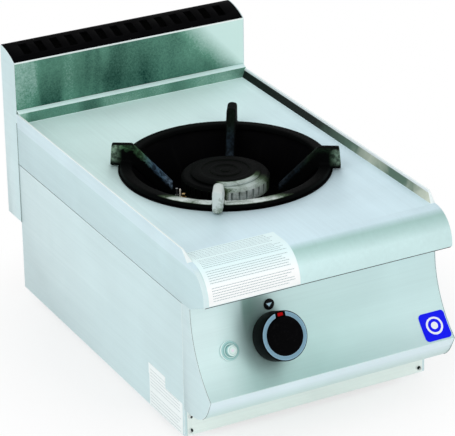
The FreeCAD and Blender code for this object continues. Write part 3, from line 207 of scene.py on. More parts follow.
def between(tree, value, low, high, new_low=0.0, new_high=1.0):
    """Maps a value from one range to another, held inside the new range."""
    made = add_node(tree, "ShaderNodeMapRange", {"Value": value, "From Min": low, "From Max": high,
                                                 "To Min": new_low, "To Max": new_high})
    return made.outputs["Result"]


def layered(tree, ground, *layers):
    """Lays tones over a colour. A layer is a mask and its tone, or a value, the two numbers where
    the tone starts and is full, and the tone; a weakest and a strongest cover may follow those."""
    for mask, *span, tone in layers:
        blend = add_node(tree, "ShaderNodeMix", data_type="RGBA")
        factor = between(tree, mask, *span) if span else mask
        plug(tree, (blend.inputs[0], blend.inputs[6], blend.inputs[7]), (factor, ground, tone))
        ground = blend.outputs[2]
    return ground


print("a mid grey is", short(from_screen(128, 128, 128), 3))


# %% Helpers for places and noises
def object_place(tree):
    """The shaded point, in metres in the solids' frame."""
    return add_node(tree, "ShaderNodeTexCoord").outputs["Object"]


def position(tree):
    """The X, Y and Z of the shaded point, as three sockets."""
    return add_node(tree, "ShaderNodeSeparateXYZ", {"Vector": object_place(tree)}).outputs


def along(tree, heading, centre=(0, 0, 0)):
    """How far the shaded point lies from a centre in one direction."""
    arm = vector_node(tree, "SUBTRACT", object_place(tree), centre)[0]
    return vector_node(tree, "DOT_PRODUCT", arm, heading)["Value"]


def from_line(tree, centre, heading):
    """How far it lies from a line through a centre, such as the axis of a round piece."""
    arm = vector_node(tree, "SUBTRACT", object_place(tree), centre)[0]
    across = vector_node(tree, "CROSS_PRODUCT", arm, heading)[0]
    return vector_node(tree, "LENGTH", across)["Value"]


def facing(tree, heading):
    """How much the surface faces one direction, from -1 to 1."""
    surface = add_node(tree, "ShaderNodeNewGeometry")
    return vector_node(tree, "DOT_PRODUCT", surface.outputs["Normal"], heading)["Value"]


def noise(tree, place, **values):
    """A noise at a place, with its inputs by name."""
    return add_node(tree, "ShaderNodeTexNoise", {"Vector": place, **values}).outputs[0]


def spread(tree, value, low=0.0, high=1.0):
    """Spreads a noise, which seldom leaves 0.3 to 0.7, over a whole range."""
    return between(tree, value, 0.3, 0.7, low, high)


def bumped(tree, relief, strength, distance):
    """The normal of a surface with this relief."""
    made = add_node(tree, "ShaderNodeBump", {"Height": relief, "Strength": strength,
                                             "Distance": distance})
    return made.outputs[0]


def scaled(colour, factor, lift=0.0):
    """A screen colour made brighter or darker, and no brighter than white, in linear numbers."""
    channels = from_screen(*colour)[:3]
    return tuple(min(1.0, channel * factor + lift) for channel in channels) + (1.0,)


print("half of a mid grey is", short(scaled((128, 128, 128), 0.5), 3))

# %% [markdown]
# ## Brushed grain
# Satin stainless is ground with a belt, which leaves fine parallel scratches. They can be faked
# with an anisotropic shader alone, but then the scratches themselves never show. Here a noise is
# stretched hard along the belt's direction: it shades the metal a little, changes its roughness
# from line to line, and tilts the surface with a shallow bump.

# %% Group: brushed grain
def build_brushed_grain():
    tree, given, result = new_group(
        "brushed grain",
        [("Stretch", "NodeSocketVector", (1, 1, 1)), ("Depth", "NodeSocketFloat", 0.2)],
        [("Shade", "NodeSocketFloat"), ("Normal", "NodeSocketVector")])
    stretched = vector_node(tree, "MULTIPLY", object_place(tree), given.outputs["Stretch"])[0]
    fine = noise(tree, stretched, Scale=1.0, Detail=4.0, Roughness=0.65)
    broad = noise(tree, stretched, Scale=0.13, Detail=2.0)
    wire(tree, result, Shade=add(tree, multiply(tree, fine, 0.6), multiply(tree, broad, 0.4)),
         Normal=bumped(tree, fine, given.outputs["Depth"], 0.0003))
    return tree


BRUSHED_GRAIN = build_brushed_grain()
print("group:", BRUSHED_GRAIN.name)

# %% [markdown]
# ## Handling marks, edge wear and painted edge highlights
# Kitchen metal is never even: wiping leaves broad faint clouds, and fingers leave small duller
# spots. Edges are painted brighter: on the steel and on new fittings as painted highlights, on
# cast metal as wear and painted highlights both. The edge mask compares the true normal with one
# that a Bevel node has rounded: they differ only close to an edge, on any mesh and at any density.

# %% Group: handling marks
def build_handling_marks():
    tree, given, result = new_group(
        "handling marks", [("Scale", "NodeSocketFloat", 9.0)],
        [("Cloud", "NodeSocketFloat"), ("Spots", "NodeSocketFloat")])
    place = object_place(tree)
    scale = given.outputs["Scale"]
    cloud = noise(tree, place, Scale=scale, Detail=3.0, Distortion=0.6)
    spots = noise(tree, place, Scale=multiply(tree, scale, 6.0), Detail=5.0, Roughness=0.6)
    wire(tree, result, Cloud=spread(tree, cloud), Spots=between(tree, spots, 0.55, 0.75))
    return tree


HANDLING_MARKS = build_handling_marks()
print("group:", HANDLING_MARKS.name)


# %% Group: edge wear and painted edge highlights
def build_edges_worn_and_lit():
    tree, given, result = new_group(
        "worn_and_lit edges", [("Radius", "NodeSocketFloat", 0.001)], [("Mask", "NodeSocketFloat")])
    rounder = add_node(tree, "ShaderNodeBevel", {"Radius": given.outputs["Radius"]}, samples=6)
    surface = add_node(tree, "ShaderNodeNewGeometry")
    agree = vector_node(tree, "DOT_PRODUCT", rounder.outputs[0], surface.outputs["Normal"])
    wire(tree, result, Mask=between(tree, agree["Value"], 0.98, 0.8))
    return tree


EDGES_WORN_AND_LIT = build_edges_worn_and_lit()
print("group:", EDGES_WORN_AND_LIT.name)

# %% [markdown]
# ## Cast skin
# Sand-cast iron and brass keep the grain of the sand, and enamel over steel has a faint orange
# peel. Both are a fine noise used as bump, only at different depths, so one group serves both.

# %% Group: cast skin
def build_cast_skin():
    tree, given, result = new_group(
        "cast skin",
        [("Grain", "NodeSocketFloat", 400.0), ("Depth", "NodeSocketFloat", 0.4)],
        [("Shade", "NodeSocketFloat"), ("Normal", "NodeSocketVector")])
    place = object_place(tree)
    grain = given.outputs["Grain"]
    sand = noise(tree, place, Scale=grain, Detail=4.0, Roughness=0.7)
    pits = add_node(tree, "ShaderNodeTexVoronoi",
                    {"Vector": place, "Scale": multiply(tree, grain, 0.45)}, feature="SMOOTH_F1")
    relief = add(tree, sand, multiply(tree, pits.outputs[0], 0.5))
    wire(tree, result, Shade=sand, Normal=bumped(tree, relief, given.outputs["Depth"], 0.0008))
    return tree


CAST_SKIN = build_cast_skin()
print("group:", CAST_SKIN.name)

# %% [markdown]
# ## Materials from the groups
# A finish is a Principled shader whose colour and roughness come from the groups. Numbers that
# are the same all over sit on the shader's own sockets.

# %% Material helpers
def new_material(name, **sockets):
    """A material with one Principled shader; sockets are its plain values."""
    material = bpy.data.materials.new(name)
    material.use_nodes = True
    tree = material.node_tree
    shader = tree.nodes["Principled BSDF"]
    wire(tree, shader, **sockets)
    return material, tree, shader


def use_group(tree, group, **values):
    """A shared group in a material's tree, with its inputs by name; returns its outputs."""
    made = tree.nodes.new("ShaderNodeGroup")
    made.node_tree = group
    wire(tree, made, **values)
    return made.outputs


def satin_steel(name, colour, stretch, roughness=0.34, shade=0.07, metal=0.65, tone=None):
    """Ground stainless: the stretch is large across the grain and small along it. A tone is a
    function that wires a colour of its own, for a sheet whose colour drifts with painted
    reflections and painted light. Its edges get painted highlights."""
    material, tree, shader = new_material(name, Metallic=metal)
    grain = use_group(tree, BRUSHED_GRAIN, Stretch=stretch, Depth=0.12)
    marks = use_group(tree, HANDLING_MARKS, Scale=7.0)
    edges = use_group(tree, EDGES_WORN_AND_LIT, Radius=0.0021)
    cover = add(tree, multiply(tree, marks["Cloud"], 1.1), spread(tree, grain["Shade"]))
    # Grain and handling clouds darken the colour; the edge mask lays painted highlights on it.
    streaked = layered(tree, tone(tree) if tone else colour,
                       (multiply(tree, cover, shade), (0, 0, 0)),
                       (multiply(tree, edges["Mask"], 0.9), scaled(colour, 1.3, 0.08)))
    brushed = spread(tree, grain["Shade"], roughness - 0.05, roughness + 0.07)
    wire(tree, shader, Base_Color=streaked, Normal=grain["Normal"],
         Roughness=add(tree, brushed, multiply(tree, marks["Spots"], 0.06)))
    return material


def cast_metal(name, colour, worn_and_lit, grain=450.0, depth=0.45, roughness=0.5, edge_wear_and_light=0.35, **sockets):
    """Cast or enamelled metal: sand grain, cloudy gloss and edges painted brighter, as wear and as
    painted highlights.
    """
    material, tree, shader = new_material(name, **sockets)
    skin = use_group(tree, CAST_SKIN, Grain=grain, Depth=depth)
    marks = use_group(tree, HANDLING_MARKS, Scale=18.0)
    edges = use_group(tree, EDGES_WORN_AND_LIT, Radius=0.0025)
    edge_grain = multiply(tree, edges["Mask"], skin["Shade"])
    worn_and_lit_mask = math_node(tree, "MULTIPLY", edge_grain, 2 * edge_wear_and_light, clamp=True)
    wire(tree, shader, Base_Color=layered(tree, colour, (worn_and_lit_mask, worn_and_lit)), Normal=skin["Normal"],
         Roughness=between(tree, marks["Cloud"], 0.0, 1.0, roughness - 0.12, roughness + 0.1))
    return material


def moulded(name, colour, roughness=0.4, depth=0.08, **sockets):
    """Moulded plastic or rubber: a very fine grain and faint finger marks."""
    material, tree, shader = new_material(name, **sockets)
    skin = use_group(tree, CAST_SKIN, Grain=900.0, Depth=depth)
    marks = use_group(tree, HANDLING_MARKS, Scale=40.0)
    touched = layered(tree, colour,
                      (multiply(tree, marks["Spots"], 0.4), scaled(colour, 1.25, 0.01)))
    wire(tree, shader, Base_Color=touched, Normal=skin["Normal"],
         Roughness=spread(tree, skin["Shade"], roughness - 0.05, roughness + 0.05))
    return material


def dress(material, *names):
    """Puts a material on solids, by name, in place of whatever they came with."""
    for name in names:
        mesh = solids[name].data
        mesh.materials.clear()
        mesh.materials.append(material)


print("finishes can be mixed from", len(bpy.data.node_groups), "groups")

# %% [markdown]
# ## The steel of the casing
# All outer sheets are one steel, but each is ground along its own length: the worktop from front
# to back, the control panel and the chimney from side to side. So there is one finish for each
# direction. The worktop's and the panel's colours change from place to place with painted
# reflections of the studio and painted light, as soft drifts of tone. The base strip is a paler
# copy of the steel: painted light.

# %% Places on the casing
ACROSS_X = (1400.0, 9.0, 1400.0)
ACROSS_Y = (9.0, 1400.0, 1400.0)
BOWL_FLANGE = 0.0015
NOSE_RADIUS = 0.046
ROLL_HEIGHT = 0.048
# How strong the painted dark reflection of the knob on the panel is:
KNOB_REFLECTION_STRENGTH = 0.5

worktop_low, worktop_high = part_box("worktop")
panel_low, panel_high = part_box("control_panel")
knob_low, knob_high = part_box("knob")
label_low, label_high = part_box("nose_label")
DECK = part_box("well_bowl")[1].z - BOWL_FLANGE
NOSE_START = worktop_low.y + NOSE_RADIUS
FOLD = panel_low.z + ROLL_HEIGHT
KNOB_X = (knob_low.x + knob_high.x) / 2
KNOB_Z = (knob_low.z + knob_high.z) / 2
print("deck", round(DECK, 4), "fold", round(FOLD, 4), "knob", short((KNOB_X, KNOB_Z)))


# %% Tones of the worktop and the panel: painted reflections and painted light
def worktop_painted_light(tree):
    """Painted light and painted reflections: greenish at the rear left, bluish at the front
    right, a darker painted reflection in a band over the nose, but not in the narrow strip left
    of the label, and faces that look sideways paler, as painted light on the skirt, most along
    its top."""
    x, y, z = position(tree)
    deck = layered(tree, (225, 252, 250),
                   (along(tree, (0.6, -0.8, 0)), -0.15, 0.12, (218, 242, 251)))
    nose = layered(tree, (166, 206, 200), (z, DECK - 0.003, DECK - 0.024, (215, 244, 244)),
                   (x, label_low.x + 0.001, label_low.x - 0.002, (226, 246, 248)))
    skirt_painted_light = layered(tree, (208, 234, 238), (z, DECK - 0.0075, DECK - 0.0065, (219, 242, 249)))
    sideways = math_node(tree, "ABSOLUTE", facing(tree, (1, 0, 0)))
    return layered(tree, deck, (y, NOSE_START - 0.012, NOSE_START - 0.024, nose),
                   (sideways, 0.6, 0.8, skirt_painted_light))


def panel_painted_light(tree):
    """Painted light and painted reflections: paler away from the knob, higher up the hollow, at
    the left end and on the lower roll, with a painted dark reflection of the knob smeared above
    it.
    """
    x, y, z = position(tree)
    end = multiply(tree, between(tree, x, KNOB_X - 0.042, KNOB_X - 0.085),
                   between(tree, z, FOLD, FOLD + 0.08, 0.5, 1.0))
    painted_knob_reflection = multiply(tree, between(tree, x, KNOB_X - 0.043, KNOB_X - 0.037),
                     between(tree, x, KNOB_X + 0.004, KNOB_X - 0.026),
                     between(tree, z, KNOB_Z - 0.02, KNOB_Z + 0.03), KNOB_REFLECTION_STRENGTH)
    hollow = layered(tree, (181, 218, 214), (z, FOLD, FOLD + 0.12, (213, 241, 240)),
                     (apart(tree, x, KNOB_X), 0.06, 0.22, (208, 236, 236)),
                     (end, (226, 249, 249)), (painted_knob_reflection, (58, 136, 112)))
    roll = layered(tree, (226, 244, 250), (z, FOLD - 0.012, FOLD - 0.03, (206, 232, 230)))
    return layered(tree, hollow, (z, FOLD + 0.0005, FOLD - 0.0015, roll))


print("tones:", worktop_painted_light.__name__, panel_painted_light.__name__)

# %% Casing steel
steel_panel = satin_steel("satin_steel_panel", (205, 233, 232), ACROSS_Y, shade=0.055,
                          tone=panel_painted_light)
steel_lengthwise = satin_steel("satin_steel_front_to_back", (213, 236, 239), ACROSS_X,
                               shade=0.06, metal=0.6)
steel_worktop = satin_steel("satin_steel_worktop", (208, 238, 240), ACROSS_X,
                            roughness=0.5, metal=0.3, tone=worktop_painted_light)
steel_crosswise = satin_steel("satin_steel_side_to_side", (205, 233, 232), ACROSS_Y)
# The base strip is a paler copy of the casing steel: painted light where the roll's shade falls.
strip_steel_painted_light = satin_steel("satin_steel_strip_painted_light", (242, 255, 250), ACROSS_Y, metal=0.5)
inner_steel = satin_steel("plain_inner_steel", (170, 175, 175), ACROSS_Y, roughness=0.45)
dress(steel_lengthwise, "side_panel_left", "side_panel_right", "panel_cheek_left",
      "panel_cheek_right", "flue_cheek_left", "flue_cheek_right")
dress(steel_worktop, "worktop")
dress(steel_panel, "control_panel")
dress(steel_crosswise, "back_panel")
dress(strip_steel_painted_light, "base_strip")
dress(inner_steel, "base_tray", "burner_beam", "pilot_bracket", "spark_nut", "air_shutter")
print("casing steels:", len([m for m in bpy.data.materials if "steel" in m.name]))

# %% [markdown]
# ## The chimney's painted reflections
# The chimney's front sheet carries painted reflections of the studio: it is darker and greener
# than the rest, in soft clouds that hang upright and fade towards its right end. Three noises, one
# wide, one squeezed so that it runs upright and one fine, add up with painted upright reflections
# of the room, fade with a ramp across the sheet, and pick among three tones; a painted highlight
# runs along the top hem. Inside, where the flue gas passes, the sheets are painted black, for soot
# and for the shade inside. A mask from the way that the surface faces tells the inside from the
# outside.

# %% Clouded steel with painted reflections
CLOUDS = (((8.0, 2.0, 8.0), 1.0), ((26.0, 2.0, 5.0), 1.5), ((420.0, 420.0, 420.0), 2.0))
# Where the painted highlight of a hem starts and is full, below its height:
HEM_HIGHLIGHT_START, HEM_HIGHLIGHT_FULL = 0.0021, 0.0017


def heat_dulled(name, pale, mid, dark, soot_and_shade_side, fade=(0.24, 0.42), least=0.4, most=0.8,
                metal=0.85, painted_reflections=(), hem_highlight=None, grit=0.06):
    """Sheet metal clouded in three tones, which on the chimney front and the upstand are painted
    reflections; the side that faces soot_and_shade_side is painted black, for soot and for the
    shade inside.
    Images are painted upright reflections of the room: place, half width, from height, to height,
    strength. A hem is the height of a folded edge with a painted highlight, and grit is how strong
    the fine speckle is."""
    material, tree, shader = new_material(name, Metallic=metal)
    place = object_place(tree)
    wide, upright, speckle = (
        noise(tree, vector_node(tree, "MULTIPLY", place, stretch)[0], Scale=1.0, Detail=detail,
              Distortion=0.5) for stretch, detail in CLOUDS)
    mottled = add(tree, between(tree, wide, 0.34, 0.6, least, most),
                  between(tree, upright, 0.35, 0.65, -0.06, 0.06),
                  spread(tree, speckle, -grit, grit))
    x, y, z = position(tree)
    wavering = add(tree, x, spread(tree, upright, -0.008, 0.008))
    for middle, half, foot, head, strength in painted_reflections:
        across = between(tree, apart(tree, wavering, middle), half, half * 0.55)
        shape = multiply(tree, across, between(tree, z, foot, head), strength)
        mottled = add(tree, mottled, shape)
    fading = between(tree, along(tree, (1.0, 0, 0.93)), *fade, 1.0, 0.0)
    tone = math_node(tree, "MULTIPLY", fading, mottled, clamp=True)
    reflection_tone = layered(tree, pale, (tone, 0.0, 0.5, mid), (tone, 0.5, 1.0, dark))
    if hem_highlight:
        reflection_tone = layered(tree, reflection_tone, (z, hem_highlight - HEM_HIGHLIGHT_START, hem_highlight - HEM_HIGHLIGHT_FULL, (240, 252, 250)))
    soot = between(tree, facing(tree, soot_and_shade_side), 0.3, 0.6)
    grain = use_group(tree, BRUSHED_GRAIN, Stretch=ACROSS_Y, Depth=0.1)
    gloss = add(tree, spread(tree, grain["Shade"], 0.36, 0.46), multiply(tree, soot, 0.45))
    wire(tree, shader, Base_Color=layered(tree, reflection_tone, (soot, (6, 7, 7))),
         Roughness=gloss, Normal=grain["Normal"])
    return material


FLUE_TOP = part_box("flue_front")[1].z
# Painted reflections of the room on the chimney, and painted light at the upstand's left end:
PAINTED_ROOM_REFLECTIONS = ((-0.182, 0.026, 0.30, 0.35, -0.26), (-0.147, 0.024, 0.37, 0.31, 0.36),
               (-0.100, 0.028, 0.31, 0.38, -0.08), (-0.012, 0.066, 0.40, 0.33, 0.28),
               (-0.046, 0.010, 0.335, 0.36, -0.14), (0.085, 0.080, 0.37, 0.31, 0.16))
LEFT_END_PAINTED_LIGHT = (panel_low.x, 0.022, DECK, DECK + 0.001, -0.3)
# The front and upstand get painted reflections, and the flue floor black for soot and shade.
chimney_reflection_steel = heat_dulled("heat_dulled_steel", (206, 236, 231), (98, 152, 132), (14, 62, 54),
                        (0, 1, 0), fade=(0.432, 0.49), least=0.52, most=0.68,
                        painted_reflections=PAINTED_ROOM_REFLECTIONS, hem_highlight=FLUE_TOP, grit=0.09)
upstand_reflection_steel = heat_dulled("upstand_steel", (190, 226, 212), (102, 152, 134), (34, 76, 66),
                         (0, 1, 0), fade=(0.42, 0.62), least=0.35, most=0.95,
                         painted_reflections=(LEFT_END_PAINTED_LIGHT,), grit=0.09)
back_steel = heat_dulled("chimney_back_steel", (196, 220, 220), (178, 204, 203),
                         (150, 178, 177), (0, -1, 0), metal=0.6)
soot_and_shade_steel = heat_dulled("sooted_steel", (20, 22, 22), (13, 14, 14), (8, 9, 9), (0, 0, 1))
dress(chimney_reflection_steel, "flue_front")
dress(back_steel, "flue_back")
dress(soot_and_shade_steel, "flue_floor")
print("clouded:", chimney_reflection_steel.name, upstand_reflection_steel.name, back_steel.name, soot_and_shade_steel.name)

# %% [markdown]
# ## Iron, enamel and paint
# The burner's body is bare cast iron, oiled black. The well and the chimney's cap are black too:
# one is enamelled, the other painted. All three reflect very little, so they stay deep black.

# %% Black parts of the hob
cast_iron = cast_metal("cast_iron", (5, 6, 6), (40, 46, 48), roughness=0.6,
                       edge_wear_and_light=0.25, Specular_IOR_Level=0.06)
enamel = cast_metal("black_enamel", (1, 1, 2), (16, 18, 20), grain=90.0,
                    depth=0.06, roughness=0.5, edge_wear_and_light=0.1, Specular_IOR_Level=0.03)
cap_paint = cast_metal("black_cap_paint", (2, 2, 3), (20, 22, 24),
                       grain=700.0, depth=0.1, roughness=0.6, edge_wear_and_light=0.2, Specular_IOR_Level=0.02)
dress(cast_iron, "burner_body", "mixing_tube")
dress(enamel, "well_bowl")
dress(cap_paint, "flue_cap")
print("black:", cast_iron.name, enamel.name, cap_paint.name)

# %% [markdown]
# ## Painted highlights on the iron
# The ring, the near lug and the near side of the crown and its cap get pale grey painted
# highlights on the cook's side. The left arm gets a painted sheen, green by its lug and blue
# further in, where the wok sits, and the other lugs' ends get it too. How far a point lies towards
# the cook and how much it faces up give the masks, and the sand grain and a coarser noise break
# their borders.

# %% Iron with painted highlights
def highlit_cast_metal(name, colour, highlight_colour, where, **sockets):
    """Dark cast metal with painted highlights in grey patches. where(tree) wires their mask, and
    may wire a painted sheen as well, as a pair of its mask and its colour."""
    material, tree, shader = new_material(name, **sockets)
    skin = use_group(tree, CAST_SKIN, Grain=430.0, Depth=0.4)
    marks = use_group(tree, HANDLING_MARKS, Scale=34.0)
    edges = use_group(tree, EDGES_WORN_AND_LIT, Radius=0.002)
    broken = between(tree, add(tree, skin["Shade"], marks["Cloud"]), 0.5, 1.2, 0.3, 1.0)
    highlit, painted_sheen = where(tree)
    mask = largest(tree, multiply(tree, highlit, broken), multiply(tree, edges["Mask"], 0.1))
    tone = layered(tree, colour, (mask, 0.04, 0.4, (74, 94, 70)), (mask, 0.25, 0.9, highlight_colour))
    if painted_sheen:
        sheen_mask, sheen_colour = painted_sheen
        tone = layered(tree, tone, (multiply(tree, sheen_mask, broken), sheen_colour))
    wire(tree, shader, Base_Color=tone, Roughness=between(tree, mask, 0.0, 1.0, 0.6, 0.45),
         Normal=skin["Normal"])
    return material


UP = (0, 0, 1)
COOK_SIDE = (-0.47, -0.88, 0)
RING_OUTER = 0.157
ARM_HEIGHT = 0.026
ARM_TIP, ARM_LAND, ARM_DROP = 0.078, 0.138, 0.062
CAP_EDGE = 0.0465
well_low, well_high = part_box("well_bowl")
crown_low, crown_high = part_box("burner_crown")
WELL_CENTRE = (well_low + well_high) / 2
SUPPORT_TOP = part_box("wok_support")[1].z
RING_TOP = SUPPORT_TOP - ARM_HEIGHT
print("well centre", short(WELL_CENTRE), "ring top", round(RING_TOP, 4))


# %% Masks of the pan support and the crown
def support_highlight_mask(tree):
    """Painted highlights: the ring's top and the lug on the cook's side."""
    near = along(tree, COOK_SIDE, WELL_CENTRE)
    flat_top = multiply(tree, between(tree, near, 0.117, 0.136),
                        between(tree, facing(tree, UP), 0.6, 0.9))
    above = between(tree, along(tree, UP), RING_TOP, RING_TOP + 0.003)
    outside = between(tree, near, RING_OUTER, RING_OUTER + 0.001)
    lug = multiply(tree, between(tree, near, 0.12, 0.13, 0.0, 1.25), largest(tree, above, outside))
    return largest(tree, flat_top, lug)


def support_sheen_mask(tree):
    """Painted sheen: the other lugs' ends, and the left arm along its slope, down to a ragged line
    on its side. Returns the mask and the colour."""
    height = along(tree, UP)
    upward = facing(tree, UP)
    radius = from_line(tree, WELL_CENTRE, UP)
    coarse = noise(tree, object_place(tree), Scale=170.0, Detail=3.0)
    lug_ends = multiply(tree, between(tree, radius, 0.153, 0.166),
                        between(tree, height, RING_TOP - 0.004, RING_TOP + 0.008),
                        between(tree, upward, 0.7, 0.3))
    slope = between(tree, radius, ARM_TIP, ARM_LAND, SUPPORT_TOP - ARM_DROP, SUPPORT_TOP)
    below = add(tree, math_node(tree, "SUBTRACT", slope, height),
                spread(tree, coarse, -0.004, 0.004))
    side = multiply(tree, between(tree, below, 0.0095, 0.006),
                    between(tree, facing(tree, COOK_SIDE), 0.4, 0.7))
    slanted = multiply(tree, between(tree, upward, 0.45, 0.6), between(tree, upward, 0.95, 0.85),
                       between(tree, radius, ARM_LAND - 0.001, ARM_LAND - 0.004))
    left = between(tree, along(tree, (-1, 0, 0), WELL_CENTRE), 0.0, 0.04, 0.1, 1.0)
    arm = multiply(tree, largest(tree, side, slanted), left)
    blotches = between(tree, coarse, 0.4, 0.58, 0.25, 1.0)
    away_from_cook = between(tree, along(tree, COOK_SIDE, WELL_CENTRE), 0.11, 0.09)
    mask = multiply(tree, largest(tree, arm, lug_ends), blotches, away_from_cook)
    tone = layered(tree, (60, 96, 66), (radius, 0.124, 0.106, (72, 100, 122)),
                   (radius, 0.094, 0.08, (126, 150, 172)),
                   (radius, 0.152, 0.165, (134, 162, 142)))
    return mask, tone


def support_highlight_masks(tree):
    return support_highlight_mask(tree), support_sheen_mask(tree)


def crown_highlight_mask(tree):
    """Painted highlights on the side of the crown and of its cap on the cook's right, next to the
    near lug.
    """
    x, y, z = position(tree)
    near = between(tree, along(tree, COOK_SIDE, WELL_CENTRE), 0.0, 0.03)
    upper = between(tree, z, crown_low.z, (crown_low.z + crown_high.z) / 2, 0.12, 1.0)
    side = multiply(tree, between(tree, facing(tree, UP), 0.55, 0.25), upper)
    radius = from_line(tree, WELL_CENTRE, UP)
    cap_edge = between(tree, radius, CAP_EDGE - 0.002, CAP_EDGE, 0.0, 0.75)
    right = multiply(tree, between(tree, x, -0.034, -0.026), between(tree, x, 0.062, 0.012))
    return multiply(tree, near, largest(tree, side, cap_edge), right), None


support_iron = highlit_cast_metal("iron_with_painted_highlights", (4, 5, 5), (200, 210, 208), support_highlight_masks,
                            Specular_IOR_Level=0.025)
crown_brass = highlit_cast_metal("crown_with_painted_highlights", (4, 5, 5), (194, 208, 206), crown_highlight_mask,
                           Specular_IOR_Level=0.025)
dress(support_iron, "wok_support")
dress(crown_brass, "burner_crown")
print("rubbed:", support_iron.name, crown_brass.name)

# %% [markdown]
# ## Pipes and fittings
# Behind the panel and at the gas inlet the metals are new and clean: turned brass, steel pipe,
# soft copper and plated screws, with only faint grain and edges painted a little brighter, as
# highlights.

# %% Metals of the fittings
yellow_brass = cast_metal("turned_brass", (196, 164, 104), (235, 210, 160),
                          grain=900.0, depth=0.08, roughness=0.33, Metallic=1.0)
pipe_steel = cast_metal("pipe_steel", (150, 152, 154), (200, 202, 204),
                        grain=700.0, depth=0.1, roughness=0.42, Metallic=1.0)
copper = cast_metal("soft_copper", (196, 122, 88), (235, 170, 135),
                    grain=700.0, depth=0.08, roughness=0.35, Metallic=1.0)
zinc = cast_metal("zinc_plated", (200, 204, 206), (240, 242, 244),
                  grain=1200.0, depth=0.06, roughness=0.3, Metallic=1.0)
porcelain = moulded("porcelain", (226, 222, 210), roughness=0.25)
dress(yellow_brass, "gas_tap", "tap_plug", "jet_holder", "pilot_burner", "gas_inlet")
dress(pipe_steel, "supply_pipe", "tap_spindle", "flame_probe")
dress(copper, "feed_pipe", "pilot_pipe", "probe_line")
dress(zinc, "foot_bolts")
dress(porcelain, "spark_pin")
print("fittings:", yellow_brass.name, pipe_steel.name, copper.name, zinc.name, porcelain.name)

# %% [markdown]
# ## Plastic and rubber
# The knob is black with a fine satin grain; its inlaid ring is spun aluminium and the mark on it
# is deep red.

# %% Plastic and rubber parts
knob_black = moulded("knob_black", (1, 1, 2), roughness=0.5, Specular_IOR_Level=0.03)
black_plastic = moulded("black_plastic", (5, 5, 6), roughness=0.45, Specular_IOR_Level=0.1)
foot_rubber = moulded("foot_rubber", (24, 24, 25), roughness=0.75, depth=0.2)
lead_rubber = moulded("lead_rubber", (28, 28, 30), roughness=0.6)
mark_red = moulded("mark_red", (168, 2, 6), roughness=0.4, Specular_IOR_Level=0.05)
index_white = moulded("index_white", (196, 226, 244), roughness=0.35)
button_pink = moulded("button_pink", (236, 226, 236), roughness=0.3)
ring_silver = satin_steel("ring_silver", (126, 164, 184), (900.0, 900.0, 60.0), roughness=0.4)
for material, name in ((knob_black, "knob"), (black_plastic, "index_disc"), (foot_rubber, "feet"),
                       (lead_rubber, "spark_lead"), (mark_red, "knob_mark"),
                       (index_white, "index_arrow"), (button_pink, "button_core"),
                       (ring_silver, "knob_ring")):
    dress(material, name)
    print(name, "is", material.name)

# %% [markdown]
# ## The milky spark button
# The button and its collar are milky plastic that light passes into, so each step and gap shows
# as a darker or paler ring, and the middle has a tinge of pink. True translucency costs long
# renders and is lost on export, so the rings are painted light and painted shade: tones that
# follow the distance from the button's axis, with painted shade in the gaps and painted highlights
# on the lips. The axis runs from the middle of the button's core through the middle of its front
# end.

# %% Milky plastic
core_spots = [vertex.co for vertex in solids["button_core"].data.vertices]
core_middle = sum(core_spots, Vector()) / len(core_spots)
front_spots = [spot for spot in core_spots if spot.y < core_middle.y]
BUTTON_AXIS = (sum(front_spots, Vector()) / len(front_spots) - core_middle).normalized()


def milky(name, inmost, *rings):
    """Milky plastic with rings of painted light and shade. A ring is the distances where its tone
    starts and is full, and the tone.
    """
    material, tree, shader = new_material(name, Coat_Weight=0.4)
    skin = use_group(tree, CAST_SKIN, Grain=900.0, Depth=0.08)
    radius = from_line(tree, core_middle, BUTTON_AXIS)
    tone = layered(tree, inmost, *((radius, *ring) for ring in rings))
    wire(tree, shader, Base_Color=tone, Roughness=spread(tree, skin["Shade"], 0.18, 0.28),
         Normal=skin["Normal"])
    return material


dress(milky("button_milk", (238, 220, 238), (0.0008, 0.0028, (214, 234, 230)),
            (0.0046, 0.0052, (184, 214, 210)), (0.0056, 0.0064, (220, 240, 236)),
            (0.0072, 0.0079, (150, 194, 192))), "spark_button")
dress(milky("collar_milk", (128, 174, 172), (0.0084, 0.0092, (196, 226, 222)),
            (0.0100, 0.0106, (140, 188, 186)), (0.0112, 0.0120, (164, 208, 206)),
            (0.0136, 0.0142, (236, 248, 246))), "spark_generator")
print("button axis", short(BUTTON_AXIS, 3))

# %% [markdown]
# ## Blank labels
# The labels carry no words, only pale ruled lines such as a blank form has. A line is a thin
# slice of a repeating ramp. On the nose the lines follow the roll of the steel, so their ramp is
# the angle about the roll's own axis; on the side plate it is the height.

